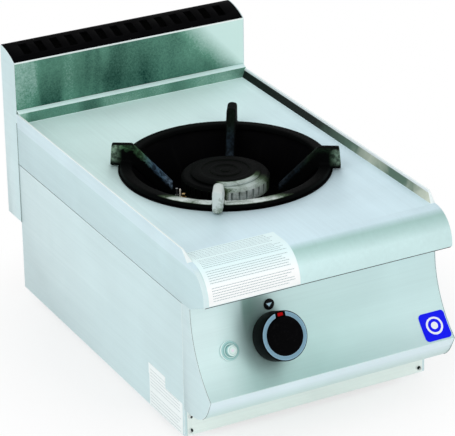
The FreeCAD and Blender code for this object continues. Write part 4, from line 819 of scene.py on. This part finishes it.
# %% Group: ruled lines
def build_ruled_lines():
    tree, given, result = new_group(
        "ruled lines",
        [("Along", "NodeSocketFloat", 0.0), ("Across", "NodeSocketFloat", 0.0),
         ("Pitch", "NodeSocketFloat", 0.004), ("Thickness", "NodeSocketFloat", 0.3),
         ("Dots", "NodeSocketFloat", 60.0)],
        [("Mask", "NodeSocketFloat")])
    across = given.outputs["Across"]
    steps = math_node(tree, "DIVIDE", given.outputs["Along"], given.outputs["Pitch"])
    row = math_node(tree, "FLOOR", steps)
    line = math_node(tree, "LESS_THAN", math_node(tree, "FRACT", steps),
                     given.outputs["Thickness"])
    ragged = add_node(tree, "ShaderNodeTexWhiteNoise", {"W": row}, noise_dimensions="1D")
    line_end = between(tree, ragged.outputs["Value"], 0.0, 1.0, 0.86, 0.96)
    inside = multiply(tree, math_node(tree, "GREATER_THAN", across, 0.05),
                      math_node(tree, "LESS_THAN", across, line_end))
    every_seventh = math_node(tree, "FRACT", math_node(tree, "DIVIDE", row, 7.0))
    blank_rows = math_node(tree, "GREATER_THAN", every_seventh, 0.1)
    dot = math_node(tree, "FRACT", multiply(tree, across, given.outputs["Dots"]))
    dotted = multiply(tree, math_node(tree, "LESS_THAN", dot, 0.7), line)
    wire(tree, result, Mask=multiply(tree, dotted, blank_rows, inside))
    return tree


RULED_LINES = build_ruled_lines()
print("group:", RULED_LINES.name)


# %% Label papers
def label_paper(name, paper, ink, run, pitch, thickness, high=1.0):
    """White label stock with ruled lines; run(tree) wires how far down the page a point lies and
    how far across. Towards the height high the paper turns a little blue, as painted light."""
    material, tree, shader = new_material(name, Roughness=0.42)
    down_the_page, across = run(tree)
    ruled = use_group(tree, RULED_LINES, Along=down_the_page, Across=across, Pitch=pitch,
                      Thickness=thickness)
    marks = use_group(tree, HANDLING_MARKS, Scale=30.0)
    printed = layered(tree, paper, (multiply(tree, marks["Cloud"], 0.2), scaled(paper, 0.9)),
                      (along(tree, UP), high - 0.022, high, (228, 250, 252)),
                      (ruled["Mask"], ink))
    wire(tree, shader, Base_Color=printed)
    return material


NOSE_AXIS = Vector((0, label_low.y + NOSE_RADIUS, label_high.z - NOSE_RADIUS))
plate_low, plate_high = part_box("rating_plate")


def round_the_nose(tree):
    x, y, z = position(tree)
    angle = math_node(tree, "ARCTAN2", math_node(tree, "SUBTRACT", z, NOSE_AXIS.z),
                      math_node(tree, "SUBTRACT", NOSE_AXIS.y, y))
    return multiply(tree, angle, NOSE_RADIUS), between(tree, x, label_low.x, label_high.x)


def up_the_side(tree):
    x, y, z = position(tree)
    return z, between(tree, y, plate_high.y, plate_low.y)


nose_paper = label_paper("nose_paper", (253, 255, 255), (136, 162, 168),
                         round_the_nose, 0.0036, 0.26, high=label_high.z - 0.004)
plate_paper = label_paper("plate_paper", (244, 252, 252), (170, 186, 188),
                          up_the_side, 0.0052, 0.2)
dress(nose_paper, "nose_label")
dress(plate_paper, "rating_plate")
print("labels are", short((label_high.x - label_low.x, plate_high.y - plate_low.y), 3), "long")

# %% Blue badge
badge_low, badge_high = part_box("badge")
badge_middle = (badge_low + badge_high) / 2
badge_half = (badge_high - badge_low) / 2
RING_RADIUS, RING_HALF_WIDTH, DOT_RADIUS = 0.56, 0.075, 0.26


def blue_badge():
    """A glossy blue sticker with a plain white ring and a dot in its middle, in shares of its half
    width and half height."""
    material, tree, shader = new_material("badge_blue", Roughness=0.4, Specular_IOR_Level=0.1)
    x, y, z = position(tree)
    across, up = (math_node(tree, "DIVIDE", math_node(tree, "SUBTRACT", place, middle), half)
                  for place, middle, half in ((x, badge_middle.x, badge_half.x),
                                              (z, badge_middle.z, badge_half.z)))
    out = diagonal(tree, across, up)
    ring = math_node(tree, "LESS_THAN", apart(tree, out, RING_RADIUS), RING_HALF_WIDTH)
    figure = largest(tree, ring, math_node(tree, "LESS_THAN", out, DOT_RADIUS))
    marks = use_group(tree, HANDLING_MARKS, Scale=60.0)
    wire(tree, shader, Base_Color=layered(
        tree, (16, 24, 248), (multiply(tree, marks["Cloud"], 0.3), (10, 16, 225)),
        (figure, (240, 244, 250))))
    return material


dress(blue_badge(), "badge")
print("badge half sizes", short(badge_half))

# %% [markdown]
# ## Rounded sheet edges
# Real folds and edges are never sharp: a fold has a radius of about the sheet's thickness, and it
# is these small roundings that catch the light as thin bright lines. A solid's mesh isn't
# changed, so a copy of it is cleaned of its flat triangles, bevelled, and shown in its place.

# %% Round a copy of a solid
SHARP_ANGLE = math.radians(28.0)
FLAT_ANGLE = math.radians(0.2)
SMOOTH_ANGLE = math.radians(35.0)


def soften(name, width):
    """A copy of a solid with bevelled edges, which stands for it. Returns the copy."""
    solid = solids[name]
    form = bmesh.new()
    form.from_mesh(solid.data)
    bmesh.ops.remove_doubles(form, verts=form.verts, dist=1e-6)
    bmesh.ops.dissolve_limit(form, angle_limit=FLAT_ANGLE, verts=form.verts, edges=form.edges)
    sharp = [edge for edge in form.edges
             if edge.is_manifold and edge.calc_face_angle(0.0) > SHARP_ANGLE]
    bmesh.ops.bevel(form, geom=sharp, offset=width, offset_type="OFFSET", segments=2,
                    profile=0.5, affect="EDGES", clamp_overlap=True)
    mesh = bpy.data.meshes.new(name + "_rounded")
    form.to_mesh(mesh)
    form.free()
    piece = bpy.data.objects.new(name + "_rounded", mesh)
    bpy.context.scene.collection.objects.link(piece)
    for material in solid.data.materials:
        mesh.materials.append(material)
    mesh.shade_smooth()
    mesh.set_sharp_from_angle(angle=SMOOTH_ANGLE)
    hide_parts(name)
    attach(piece, solid["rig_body"])
    print(name, "rounded:", len(sharp), "edges,", len(mesh.polygons), "faces")
    return piece


ROUNDED = {"worktop": 0.0006, "control_panel": 0.0004, "flue_cap": 0.0004, "knob": 0.0006,
           "burner_crown": 0.0005, "base_strip": 0.0003, "flue_front": 0.0003,
           "flue_back": 0.0003, "side_panel_left": 0.0004, "side_panel_right": 0.0004,
           "panel_cheek_left": 0.0003, "panel_cheek_right": 0.0003, "flue_cheek_left": 0.0003,
           "flue_cheek_right": 0.0003, "well_bowl": 0.0005, "feet": 0.0008,
           "spark_generator": 0.0004, "spark_button": 0.0004, "index_disc": 0.0002,
           "gas_inlet": 0.0005, "gas_tap": 0.0006}
rounded = {}
for name, width in ROUNDED.items():
    rounded[name] = soften(name, width)

# %% [markdown]
# ## True normals for the hollow panel
# The panel's hollow is a cylinder that came over as flat strips, and between its holes the strips
# are cut into slivers that would shade unevenly. The shape is known, so each corner of a face gets
# the normal of the real cylinder at that place.

# %% Outline of the panel's end
HOLLOW_RADIUS = 0.160
SAME_PLACE = 1e-5
ON_THE_CURVE = 0.0003
panel_end = [(v.co.y, v.co.z) for v in solids["control_panel"].data.vertices
             if v.co.x < panel_low.x + SAME_PLACE]
flat_front = min(y for y, z in panel_end if z > FOLD + 0.14)
flat_heights = [z for y, z in panel_end if abs(y - flat_front) < SAME_PLACE and z > FOLD + 0.1]
HOLLOW_CENTRE = (flat_front - HOLLOW_RADIUS, min(flat_heights))
hollow_line = sorted({
    (round(z, 5), round(y, 5)) for y, z in panel_end if z > FOLD - 0.001 and
    abs(math.dist((y, z), HOLLOW_CENTRE) - HOLLOW_RADIUS) < ON_THE_CURVE})
print("hollow about", short(HOLLOW_CENTRE), "through", len(hollow_line), "points")


# %% Set the panel's normals
NEARLY_ALIKE = 0.985


def true_normals(piece, centre, low, high):
    """Gives the faces between two heights the normals of a cylinder about the centre (y, z), which
    goes over into a plane above the centre."""
    mesh = piece.data
    normals = [corner.vector.copy() for corner in mesh.corner_normals]
    changed = 0
    for face in mesh.polygons:
        if not low < face.center.z < high or abs(face.normal.x) > 0.05 or face.normal.y > 0:
            continue
        for index in face.loop_indices:
            spot = mesh.vertices[mesh.loops[index].vertex_index].co
            drop = min(HOLLOW_RADIUS, max(0.0, centre[1] - spot.z))
            toward = Vector((0, centre[0] - spot.y, drop)).normalized()
            if toward.dot(face.normal) > NEARLY_ALIKE:
                normals[index] = toward
                changed += 1
    mesh.normals_split_custom_set([tuple(normal) for normal in normals])
    print(piece.name, "has", changed, "true normals")


true_normals(rounded["control_panel"], HOLLOW_CENTRE, FOLD, panel_high.z)

# %% [markdown]
# ## Painted reflections on the worktop's rims and upstand
# The worktop is one piece, but not of one look: its rear upstand has painted reflections like the
# chimney's front, the inner wall of each side rim a painted reflection, nearly black at the rear
# and pale at the front, and each crest a painted highlight. Faces of the rounded copy are picked
# by where they are and which way they look, and get a finish of their own.

# %% Painted reflection of the rims
LEDGE_DEPTH = 0.008
RIM_INNER = 0.18
ledge_front = worktop_high.y - LEDGE_DEPTH
rim_top = max(v.co.z for v in solids["worktop"].data.vertices if v.co.y < ledge_front - 0.05)


def rim_painted_reflection(name, dark, mid, pale, hem_highlight):
    """Satin steel with a painted reflection, nearly black at the rear, clouded in the middle and
    pale at the front, with a painted highlight along its upper edge as a bright hem."""
    material, tree, shader = new_material(name, Metallic=0.4)
    marks = use_group(tree, HANDLING_MARKS, Scale=45.0)
    grain = use_group(tree, BRUSHED_GRAIN, Stretch=ACROSS_X, Depth=0.1)
    x, y, z = position(tree)
    place = add(tree, y, between(tree, marks["Cloud"], 0.0, 1.0, 0.014, -0.014))
    tone = layered(tree, dark, (place, 0.06, -0.06, mid), (place, -0.05, -0.11, 0.0, 0.6, pale),
                   (place, -0.11, -0.17, mid), (place, -0.20, -0.28, pale),
                   (z, rim_top - 0.0034, rim_top - 0.0024, hem_highlight))
    wire(tree, shader, Base_Color=tone, Roughness=spread(tree, grain["Shade"], 0.4, 0.5),
         Normal=grain["Normal"])
    return material


rim_reflection_steel = rim_painted_reflection("rim_painted_reflection_steel", (5, 18, 13), (88, 116, 102),
                          (222, 230, 214), (226, 236, 240))
# The crests are a paler copy of the steel: a painted highlight.
crest_steel = satin_steel("rim_crest_steel", (244, 255, 255), ACROSS_X, metal=0.1)
print("rims reach", round(rim_top, 4))

# %% Pick the faces
top = rounded["worktop"].data
UPSTAND, RIM, CREST = range(1, 4)
for material in (upstand_reflection_steel, rim_reflection_steel, crest_steel):
    top.materials.append(material)
picked = {UPSTAND: 0, RIM: 0, CREST: 0}
for face in top.polygons:
    spot, way = face.center, face.normal
    raised = spot.z > DECK + 0.0004
    by_a_rim = abs(spot.x) > RIM_INNER
    if raised and way.y < -0.8 and spot.y > ledge_front - 0.002:
        face.material_index = UPSTAND
    elif raised and by_a_rim and way.z > 0.1 and way.x * spot.x < -0.05 and abs(way.x) > 0.5:
        face.material_index = RIM
    elif spot.z > DECK + 0.002 and by_a_rim and (way.z > 0.8 or way.y < -0.4):
        face.material_index = CREST
    if face.material_index:
        picked[face.material_index] += 1
print("faces of the upstand, rims and crests:", list(picked.values()))

# %% [markdown]
# ## The pan support as a casting
# A casting has no sharp inner corners: sand can't hold them, so the arms flow into the ring. The
# quickest way to get such fillets everywhere is to remesh a copy into small even faces and to
# relax it a little; the relaxing pulls the corners round.

# %% Cast pan support
def settle(piece, stands_for=(), body=None):
    """Turns a piece's modifiers into plain mesh, hides the solids that it stands for and attaches
    it to its body.
    """
    bpy.context.view_layer.update()
    finished = piece.evaluated_get(bpy.context.evaluated_depsgraph_get())
    shaped = bpy.data.meshes.new_from_object(finished)
    piece.modifiers.clear()
    piece.data = shaped
    shaped.name = piece.name
    for name in stands_for:
        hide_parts(name)
    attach(piece, body)
    print(piece.name, "has", len(shaped.polygons), "faces")


def as_casting(name, voxel, rounds):
    """An evenly meshed copy of a solid with all corners relaxed, which stands for it."""
    mesh = solids[name].data.copy()
    mesh.name = name + "_casting"
    piece = bpy.data.objects.new(name + "_casting", mesh)
    bpy.context.scene.collection.objects.link(piece)
    remesh = piece.modifiers.new("even", "REMESH")
    remesh.mode = "VOXEL"
    remesh.voxel_size = voxel
    relax = piece.modifiers.new("relax", "SMOOTH")
    relax.factor = 0.5
    relax.iterations = rounds
    settle(piece, [name], solids[name]["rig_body"])
    piece.data.shade_smooth()


as_casting("wok_support", voxel=0.0016, rounds=6)

# %% [markdown]
# ## Small things on the sheets
# A lathe makes anything round: an outline of radius and height is carried round an axis. Screw
# heads come from it, with a socket pressed in their middle, and so does the burner's cap with its
# cast rings. A thread and a seam are thin three-sided ridges that follow a line, and a louvre is
# an eyelid pressed out of the back sheet over its slot.

# %% Lathe, ridge and new piece
def lathe(form, outline, centre, axis, segments=32, waves=0, wave_from=0):
    """Adds a turned shape to a mesh; waves make the points from wave_from on a polygon."""
    turned = Vector((0, 0, 1)).rotation_difference(Vector(axis)).to_matrix()
    rings = []
    for place, (radius, height) in enumerate(outline):
        ring = []
        for step in range(segments):
            angle = 2 * math.pi * step / segments
            reach = radius
            if waves and place >= wave_from:
                sector = math.pi / waves
                reach *= math.cos(sector) / math.cos((angle + sector) % (2 * sector) - sector)
            spot = Vector((reach * math.cos(angle), reach * math.sin(angle), height))
            ring.append(form.verts.new(turned @ spot + Vector(centre)))
        rings.append(ring)
    for inner, outer in zip(rings, rings[1:]):
        for step in range(segments):
            after = (step + 1) % segments
            form.faces.new((inner[step], inner[after], outer[after], outer[step]))
    form.faces.new(rings[-1])
    form.faces.new(list(reversed(rings[0])))


def ridge(form, sections):
    """Adds a closed three-sided bar to a mesh, through sections of three points each."""
    rings = [[form.verts.new(spot) for spot in section] for section in sections]
    form.faces.new(rings[0])
    for before, after in zip(rings, rings[1:]):
        for index in range(3):
            following = (index + 1) % 3
            form.faces.new((before[index], before[following], after[following], after[index]))
    form.faces.new(rings[-1])


def new_piece(name, form, material, smooth_angle=35.0):
    """Turns a finished bmesh into an object with one material and smooth shading."""
    bmesh.ops.recalc_face_normals(form, faces=form.faces)
    mesh = bpy.data.meshes.new(name)
    form.to_mesh(mesh)
    form.free()
    mesh.materials.append(material)
    mesh.shade_smooth()
    mesh.set_sharp_from_angle(angle=math.radians(smooth_angle))
    piece = bpy.data.objects.new(name, mesh)
    bpy.context.scene.collection.objects.link(piece)
    return piece


ROOT = solids["worktop"]["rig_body"]
print("pieces of the casing ride on", ROOT)

# %% Painted shade in the recesses of the strip's screws
strip_screws_low, strip_screws_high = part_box("base_strip_screws")
SCREW_REACH = 0.006
RECESS_RADIUS = 0.0031


def recessed(name, centre_x, centre_heights, inside):
    """Plated steel with painted shade within a short distance of the screws' axes, in their
    recesses.
    """
    material, tree, shader = new_material(name, Metallic=0.7)
    x, y, z = position(tree)
    skin = use_group(tree, CAST_SKIN, Grain=1200.0, Depth=0.1)
    sideways = apart(tree, math_node(tree, "ABSOLUTE", x), centre_x)
    lower, upper = (apart(tree, z, height) for height in centre_heights)
    radius = diagonal(tree, sideways, math_node(tree, "MINIMUM", lower, upper))
    tone = layered(tree, (196, 204, 202), (skin["Shade"], (238, 244, 242)),
                   (radius, inside, inside * 0.8, (12, 26, 24)))
    wire(tree, shader, Base_Color=tone, Normal=skin["Normal"],
         Roughness=between(tree, skin["Shade"], 0.0, 1.0, 0.3, 0.45))
    return material


screw_steel = recessed(
    "strip_screw_steel", strip_screws_high.x - SCREW_REACH,
    (strip_screws_low.z + SCREW_REACH, strip_screws_high.z - SCREW_REACH), RECESS_RADIUS)
dress(screw_steel, "base_strip_screws")
print("strip screws:", screw_steel.name)

# %% Screws on the chimney and the back
SCREW_OUTLINE = [(0.0034, -0.0004), (0.0038, 0.0), (0.0037, 0.0008), (0.003, 0.0017),
                 (0.0019, 0.0021), (0.00165, 0.002), (0.0016, 0.0009)]
SOCKET_FROM, SOCKET_SIDES = 5, 6
FLUE_SCREWS, FLUE_SCREW_INSET = (0.02, 0.09, 0.16, 0.23), 0.012
BACK_SCREWS, BACK_SCREW_INSET = (0.012, 0.085), 0.026
flue_back_low, flue_back_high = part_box("flue_back")
back_low, back_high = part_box("back_panel")
heads = bmesh.new()
for side in (-1, 1):
    for low, high, inset, heights in (
            (flue_back_low, flue_back_high, FLUE_SCREW_INSET, FLUE_SCREWS),
            (back_low, back_high, BACK_SCREW_INSET, BACK_SCREWS)):
        for height in heights:
            lathe(heads, SCREW_OUTLINE, (side * (high.x - inset), high.y, low.z + height),
                  (0, 1, 0), 24, SOCKET_SIDES, SOCKET_FROM)
screws = new_piece("back_screws", heads, zinc)
settle(screws, body=ROOT)

# %% Louvres
LOUVRE_LENGTH, LOUVRE_HEIGHT, LOUVRE_REACH = 0.060, 0.007, 0.0055
LOUVRE_LEFTS = (-0.132, -0.048)
LOUVRE_FIRST, LOUVRE_PITCH, LOUVRE_COUNT = 0.0273, 0.018, 4
LOUVRE_ROWS = [back_low.z + LOUVRE_FIRST + LOUVRE_PITCH * row for row in range(LOUVRE_COUNT)]
ACROSS_STEPS, ROLL_STEPS = 24, 8
OVERLAP = 0.001
LID_HEIGHT = LOUVRE_HEIGHT + 3 * OVERLAP
lids = bmesh.new()
for left in LOUVRE_LEFTS:
    for low in LOUVRE_ROWS:
        net = []
        for step in range(ACROSS_STEPS + 1):
            share = step / ACROSS_STEPS
            swell = (1 - abs(2 * share - 1) ** 5) ** 0.5
            column = []
            for down in range(ROLL_STEPS + 1):
                angle = down / ROLL_STEPS * math.pi / 2
                reach = LOUVRE_REACH * swell * math.sin(angle)
                drop = LID_HEIGHT * (1 - math.cos(angle)) * (0.35 + 0.65 * swell)
                column.append(lids.verts.new((
                    left - OVERLAP + share * (LOUVRE_LENGTH + 2 * OVERLAP),
                    back_high.y + 0.0002 + reach, low + LOUVRE_HEIGHT + 1.5 * OVERLAP - drop)))
            net.append(column)
        for first, second in zip(net, net[1:]):
            for down in range(ROLL_STEPS):
                lids.faces.new((first[down], first[down + 1], second[down + 1], second[down]))
louvres = new_piece("back_louvres", lids, steel_crosswise, smooth_angle=60.0)
shell = louvres.modifiers.new("shell", "SOLIDIFY")
shell.thickness = 0.0008
shell.offset = -1.0
settle(louvres, body=ROOT)

# %% Thread of the gas inlet
THREAD_RADIUS, THREAD_PITCH, THREAD_TURNS, THREAD_STEPS = 0.01048, 0.001814, 9, 40
THREAD_LENGTH = 0.0182
THREAD_ROOT, THREAD_CREST, THREAD_HALF_WIDTH = -0.0002, 0.0005, 0.46 * THREAD_PITCH
inlet_low, inlet_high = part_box("gas_inlet")
inlet_middle = (inlet_low + inlet_high) / 2
LAST_STEP = THREAD_TURNS * THREAD_STEPS
sections = []
for step in range(LAST_STEP + 1):
    angle = 2 * math.pi * step / THREAD_STEPS
    fade = min(1.0, step / THREAD_STEPS, (LAST_STEP - step) / THREAD_STEPS)
    place = inlet_high.y - THREAD_LENGTH + THREAD_PITCH * step / THREAD_STEPS
    sections.append([
        (inlet_middle.x + (THREAD_RADIUS + reach) * math.cos(angle), place + sideways,
         inlet_middle.z + (THREAD_RADIUS + reach) * math.sin(angle))
        for reach, sideways in ((THREAD_ROOT, -THREAD_HALF_WIDTH), (THREAD_CREST * fade, 0.0),
                                (THREAD_ROOT, THREAD_HALF_WIDTH))])
thread_form = bmesh.new()
ridge(thread_form, sections)
thread = new_piece("inlet_thread", thread_form, yellow_brass, smooth_angle=50.0)
settle(thread, body=ROOT)

# %% Burner cap with cast rings
RING_SINK, EDGE_SINK = 0.0016, 0.0004
cap_low, cap_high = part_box("burner_cap")
CAP_RADIUS = cap_high.x - WELL_CENTRE.x
CAP_SIDE = [(0.0396, 0.0), (0.0396, 0.0045), (CAP_RADIUS - 0.0008, 0.0045), (CAP_RADIUS, 0.0053)]
CAP_TOP = [(CAP_RADIUS, 0.0028), (CAP_RADIUS - 0.001, 0.0018), (0.0425, 0.0002), (0.041, 0.0),
           (0.0375, 0.0), (0.036, EDGE_SINK), (0.0352, RING_SINK), (0.0246, RING_SINK),
           (0.0238, EDGE_SINK), (0.0222, 0.0), (0.0192, 0.0), (0.0176, EDGE_SINK),
           (0.0168, RING_SINK), (0.008, RING_SINK), (0.0072, EDGE_SINK), (0.005, 0.0001),
           (0.0008, 0.0)]
cap_outline = ([(radius, cap_low.z + rise) for radius, rise in CAP_SIDE]
               + [(radius, cap_high.z - sink) for radius, sink in CAP_TOP])
disc = bmesh.new()
lathe(disc, cap_outline, (WELL_CENTRE.x, WELL_CENTRE.y, 0), (0, 0, 1), 96)
cap_piece = new_piece("burner_cap_cast", disc, crown_brass, smooth_angle=40.0)
settle(cap_piece, ["burner_cap"], solids["burner_cap"]["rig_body"])

# %% [markdown]
# ## Dark joints and a painted shadow
# Where one sheet ends against another, a thin dark line shows. The bead under the nose is painted
# shadow: a dark strip just below the nose's edge. A seam runs down each end of the panel and of
# the chimney, half sunk in the metal.

# %% Painted shadow bead under the nose
NOSE_UNDERSIDE = DECK - 0.049
BEAD_RADIUS = 0.001
BEAD_SPAN = 2 * worktop_high.x - 0.004
bead_outline = [(BEAD_RADIUS * share, height) for share, height in
                ((0.3, 0.0), (0.8, 0.0004), (1.0, 0.001), (1.0, BEAD_SPAN - 0.001),
                 (0.8, BEAD_SPAN - 0.0004), (0.3, BEAD_SPAN))]
bead = bmesh.new()
lathe(bead, bead_outline, (-BEAD_SPAN / 2, worktop_low.y + 0.0012, NOSE_UNDERSIDE - 0.0005),
      (1, 0, 0), 12)
# The bead is painted shadow: a dark strip just below the nose's edge.
shadow_bead = new_piece("nose_painted_shadow", bead, lead_rubber)
settle(shadow_bead, body=ROOT)

# %% Seams between the panel and its cheeks
SEAM = 0.0005
roll = sorted({(round(z, 5), round(y, 5)) for y, z in panel_end if FOLD - 0.04 < z < FOLD - 0.001})
outer_roll = [(height, depth) for height, depth in roll
              if not any(abs(other - height) < 0.0012 and less < depth - 0.0004
                         for other, less in roll)]
seam_line = outer_roll + hollow_line + [(NOSE_UNDERSIDE, flat_front)]


def seam_section(end_x, height, depth):
    """Three points of a seam: two sunk in the metal, and one that stands out of it."""
    inward = Vector((0, HOLLOW_CENTRE[0] - depth, HOLLOW_CENTRE[1] - height))
    outward = (Vector((0, -1, -0.6)) if height < FOLD - 0.001 else inward).normalized() * SEAM
    return [(end_x + sideways, depth + push * outward.y, height + push * outward.z)
            for sideways, push in ((-SEAM, -1.0), (0.0, 1.0), (SEAM, -1.0))]


seams = bmesh.new()
for side in (-1, 1):
    ridge(seams, [seam_section(side * panel_high.x, *spot) for spot in seam_line])
cheek_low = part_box("flue_cheek_left")[0]
CHEEK_RISE = DECK - cheek_low.z
cheek_outline = [(SEAM * share, height) for share, height in
                 ((0.4, 0.0), (1.0, 0.0006), (1.0, CHEEK_RISE - 0.0006), (0.4, CHEEK_RISE))]
for side in (-1, 1):
    lathe(seams, cheek_outline, (-side * casing_low.x, cheek_low.y, cheek_low.z), (0, 0, 1), 8)
seam_grey = moulded("seam_grey", (84, 108, 104), roughness=0.6)
seam = new_piece("panel_seams", seams, seam_grey)
settle(seam, body=ROOT)
print("seam through", len(seam_line), "points, of them on the roll", len(outer_roll))

# %% [markdown]
# ## The stage
# The floor is plain and pale. Near the object it is an ordinary diffuse surface that keeps the
# soft shadow; further out it turns into pure white for the camera, so no horizon shows. The world
# is white where it is seen, with faint dark clouds in mirrored rays, so the steel has something
# to show, and dimmer where it only lights.

# %% Floor
FLOOR_REACH = 15.0
SHADOW_NEAR, SHADOW_FAR, FLOOR_WHITE = 0.26, 0.48, 0.66


def seen(tree, ray):
    """1 for what the camera sees straight on, in a mirror or through glass."""
    kinds = ("Camera", "Glossy", "Transmission")
    return largest(tree, *(ray.outputs[f"Is {kind} Ray"] for kind in kinds))


floor_mesh = bpy.data.meshes.new("floor")
floor_mesh.from_pydata([(x * FLOOR_REACH, y * FLOOR_REACH, 0)
                        for x, y in ((-1, -1), (1, -1), (1, 1), (-1, 1))], [], [(0, 1, 2, 3)])
floor = bpy.data.objects.new("floor", floor_mesh)
bpy.context.scene.collection.objects.link(floor)

floor_paint, tree, shader = new_material("studio_floor", Base_Color=(0.95, 0.95, 0.95, 1.0),
                                         Roughness=0.8)
white = add_node(tree, "ShaderNodeEmission", {"Strength": 1.0})
x, y, z = position(tree)
whiteness = between(tree, diagonal(tree, x, y), SHADOW_NEAR, SHADOW_FAR, FLOOR_WHITE, 1.0)
blend = add_node(tree, "ShaderNodeMixShader")
plug(tree, blend.inputs, (multiply(tree, seen(tree, add_node(tree, "ShaderNodeLightPath")),
                                   whiteness), shader.outputs[0], white.outputs[0]))
wire(tree, tree.nodes["Material Output"], Surface=blend.outputs[0])
floor_mesh.materials.append(floor_paint)
print("floor of", 2 * FLOOR_REACH, "m")

# %% World
AMBIENT = 0.55
ROOM_DARK = (0.0, 0.04, 0.04, 1.0)
world = bpy.data.worlds.new("studio")
bpy.context.scene.world = world
world.use_nodes = True
tree = world.node_tree
ray = add_node(tree, "ShaderNodeLightPath")
direction = add_node(tree, "ShaderNodeTexCoord").outputs["Generated"]
room = noise(tree, direction, Scale=1.7, Detail=1.0)
dim = multiply(tree, between(tree, room, 0.36, 0.6, 0.3, 0.0), ray.outputs["Is Glossy Ray"])
wire(tree, tree.nodes["Background"],
     Strength=between(tree, seen(tree, ray), 0.0, 1.0, AMBIENT, 1.0),
     Color=layered(tree, (255, 255, 255), (dim, ROOM_DARK)))
print("world level", AMBIENT)


# %% Lamps
def soft_box(name, place, target, size, power):
    """A wide lamp that faces a target and shows in no mirror."""
    lamp = bpy.data.objects.new(name, bpy.data.lights.new(name, "AREA"))
    bpy.context.scene.collection.objects.link(lamp)
    lamp.data.shape = "RECTANGLE"
    lamp.data.size, lamp.data.size_y = size
    lamp.data.energy = power
    lamp.location = place
    lamp.rotation_euler = (Vector(target) - Vector(place)).to_track_quat("-Z", "Y").to_euler()
    lamp.visible_glossy = False
    print(name, "has", power, "W")


soft_box("left_box", (-2.4, -0.9, 1.9), (0, 0, 0.15), (2.6, 2.0), 31.0)
soft_box("front_box", (1.1, -2.6, 1.5), (0, 0, 0.15), (2.2, 1.6), 18.5)
soft_box("top_box", (0.2, 0.4, 2.4), (0, 0, 0.2), (2.8, 2.8), 11.5)

# %% [markdown]
# ## Colours
# The picture keeps plain colours: no film curve, so a colour renders as it was mixed.

# %% Finish
bpy.context.scene.view_settings.view_transform = "Standard"
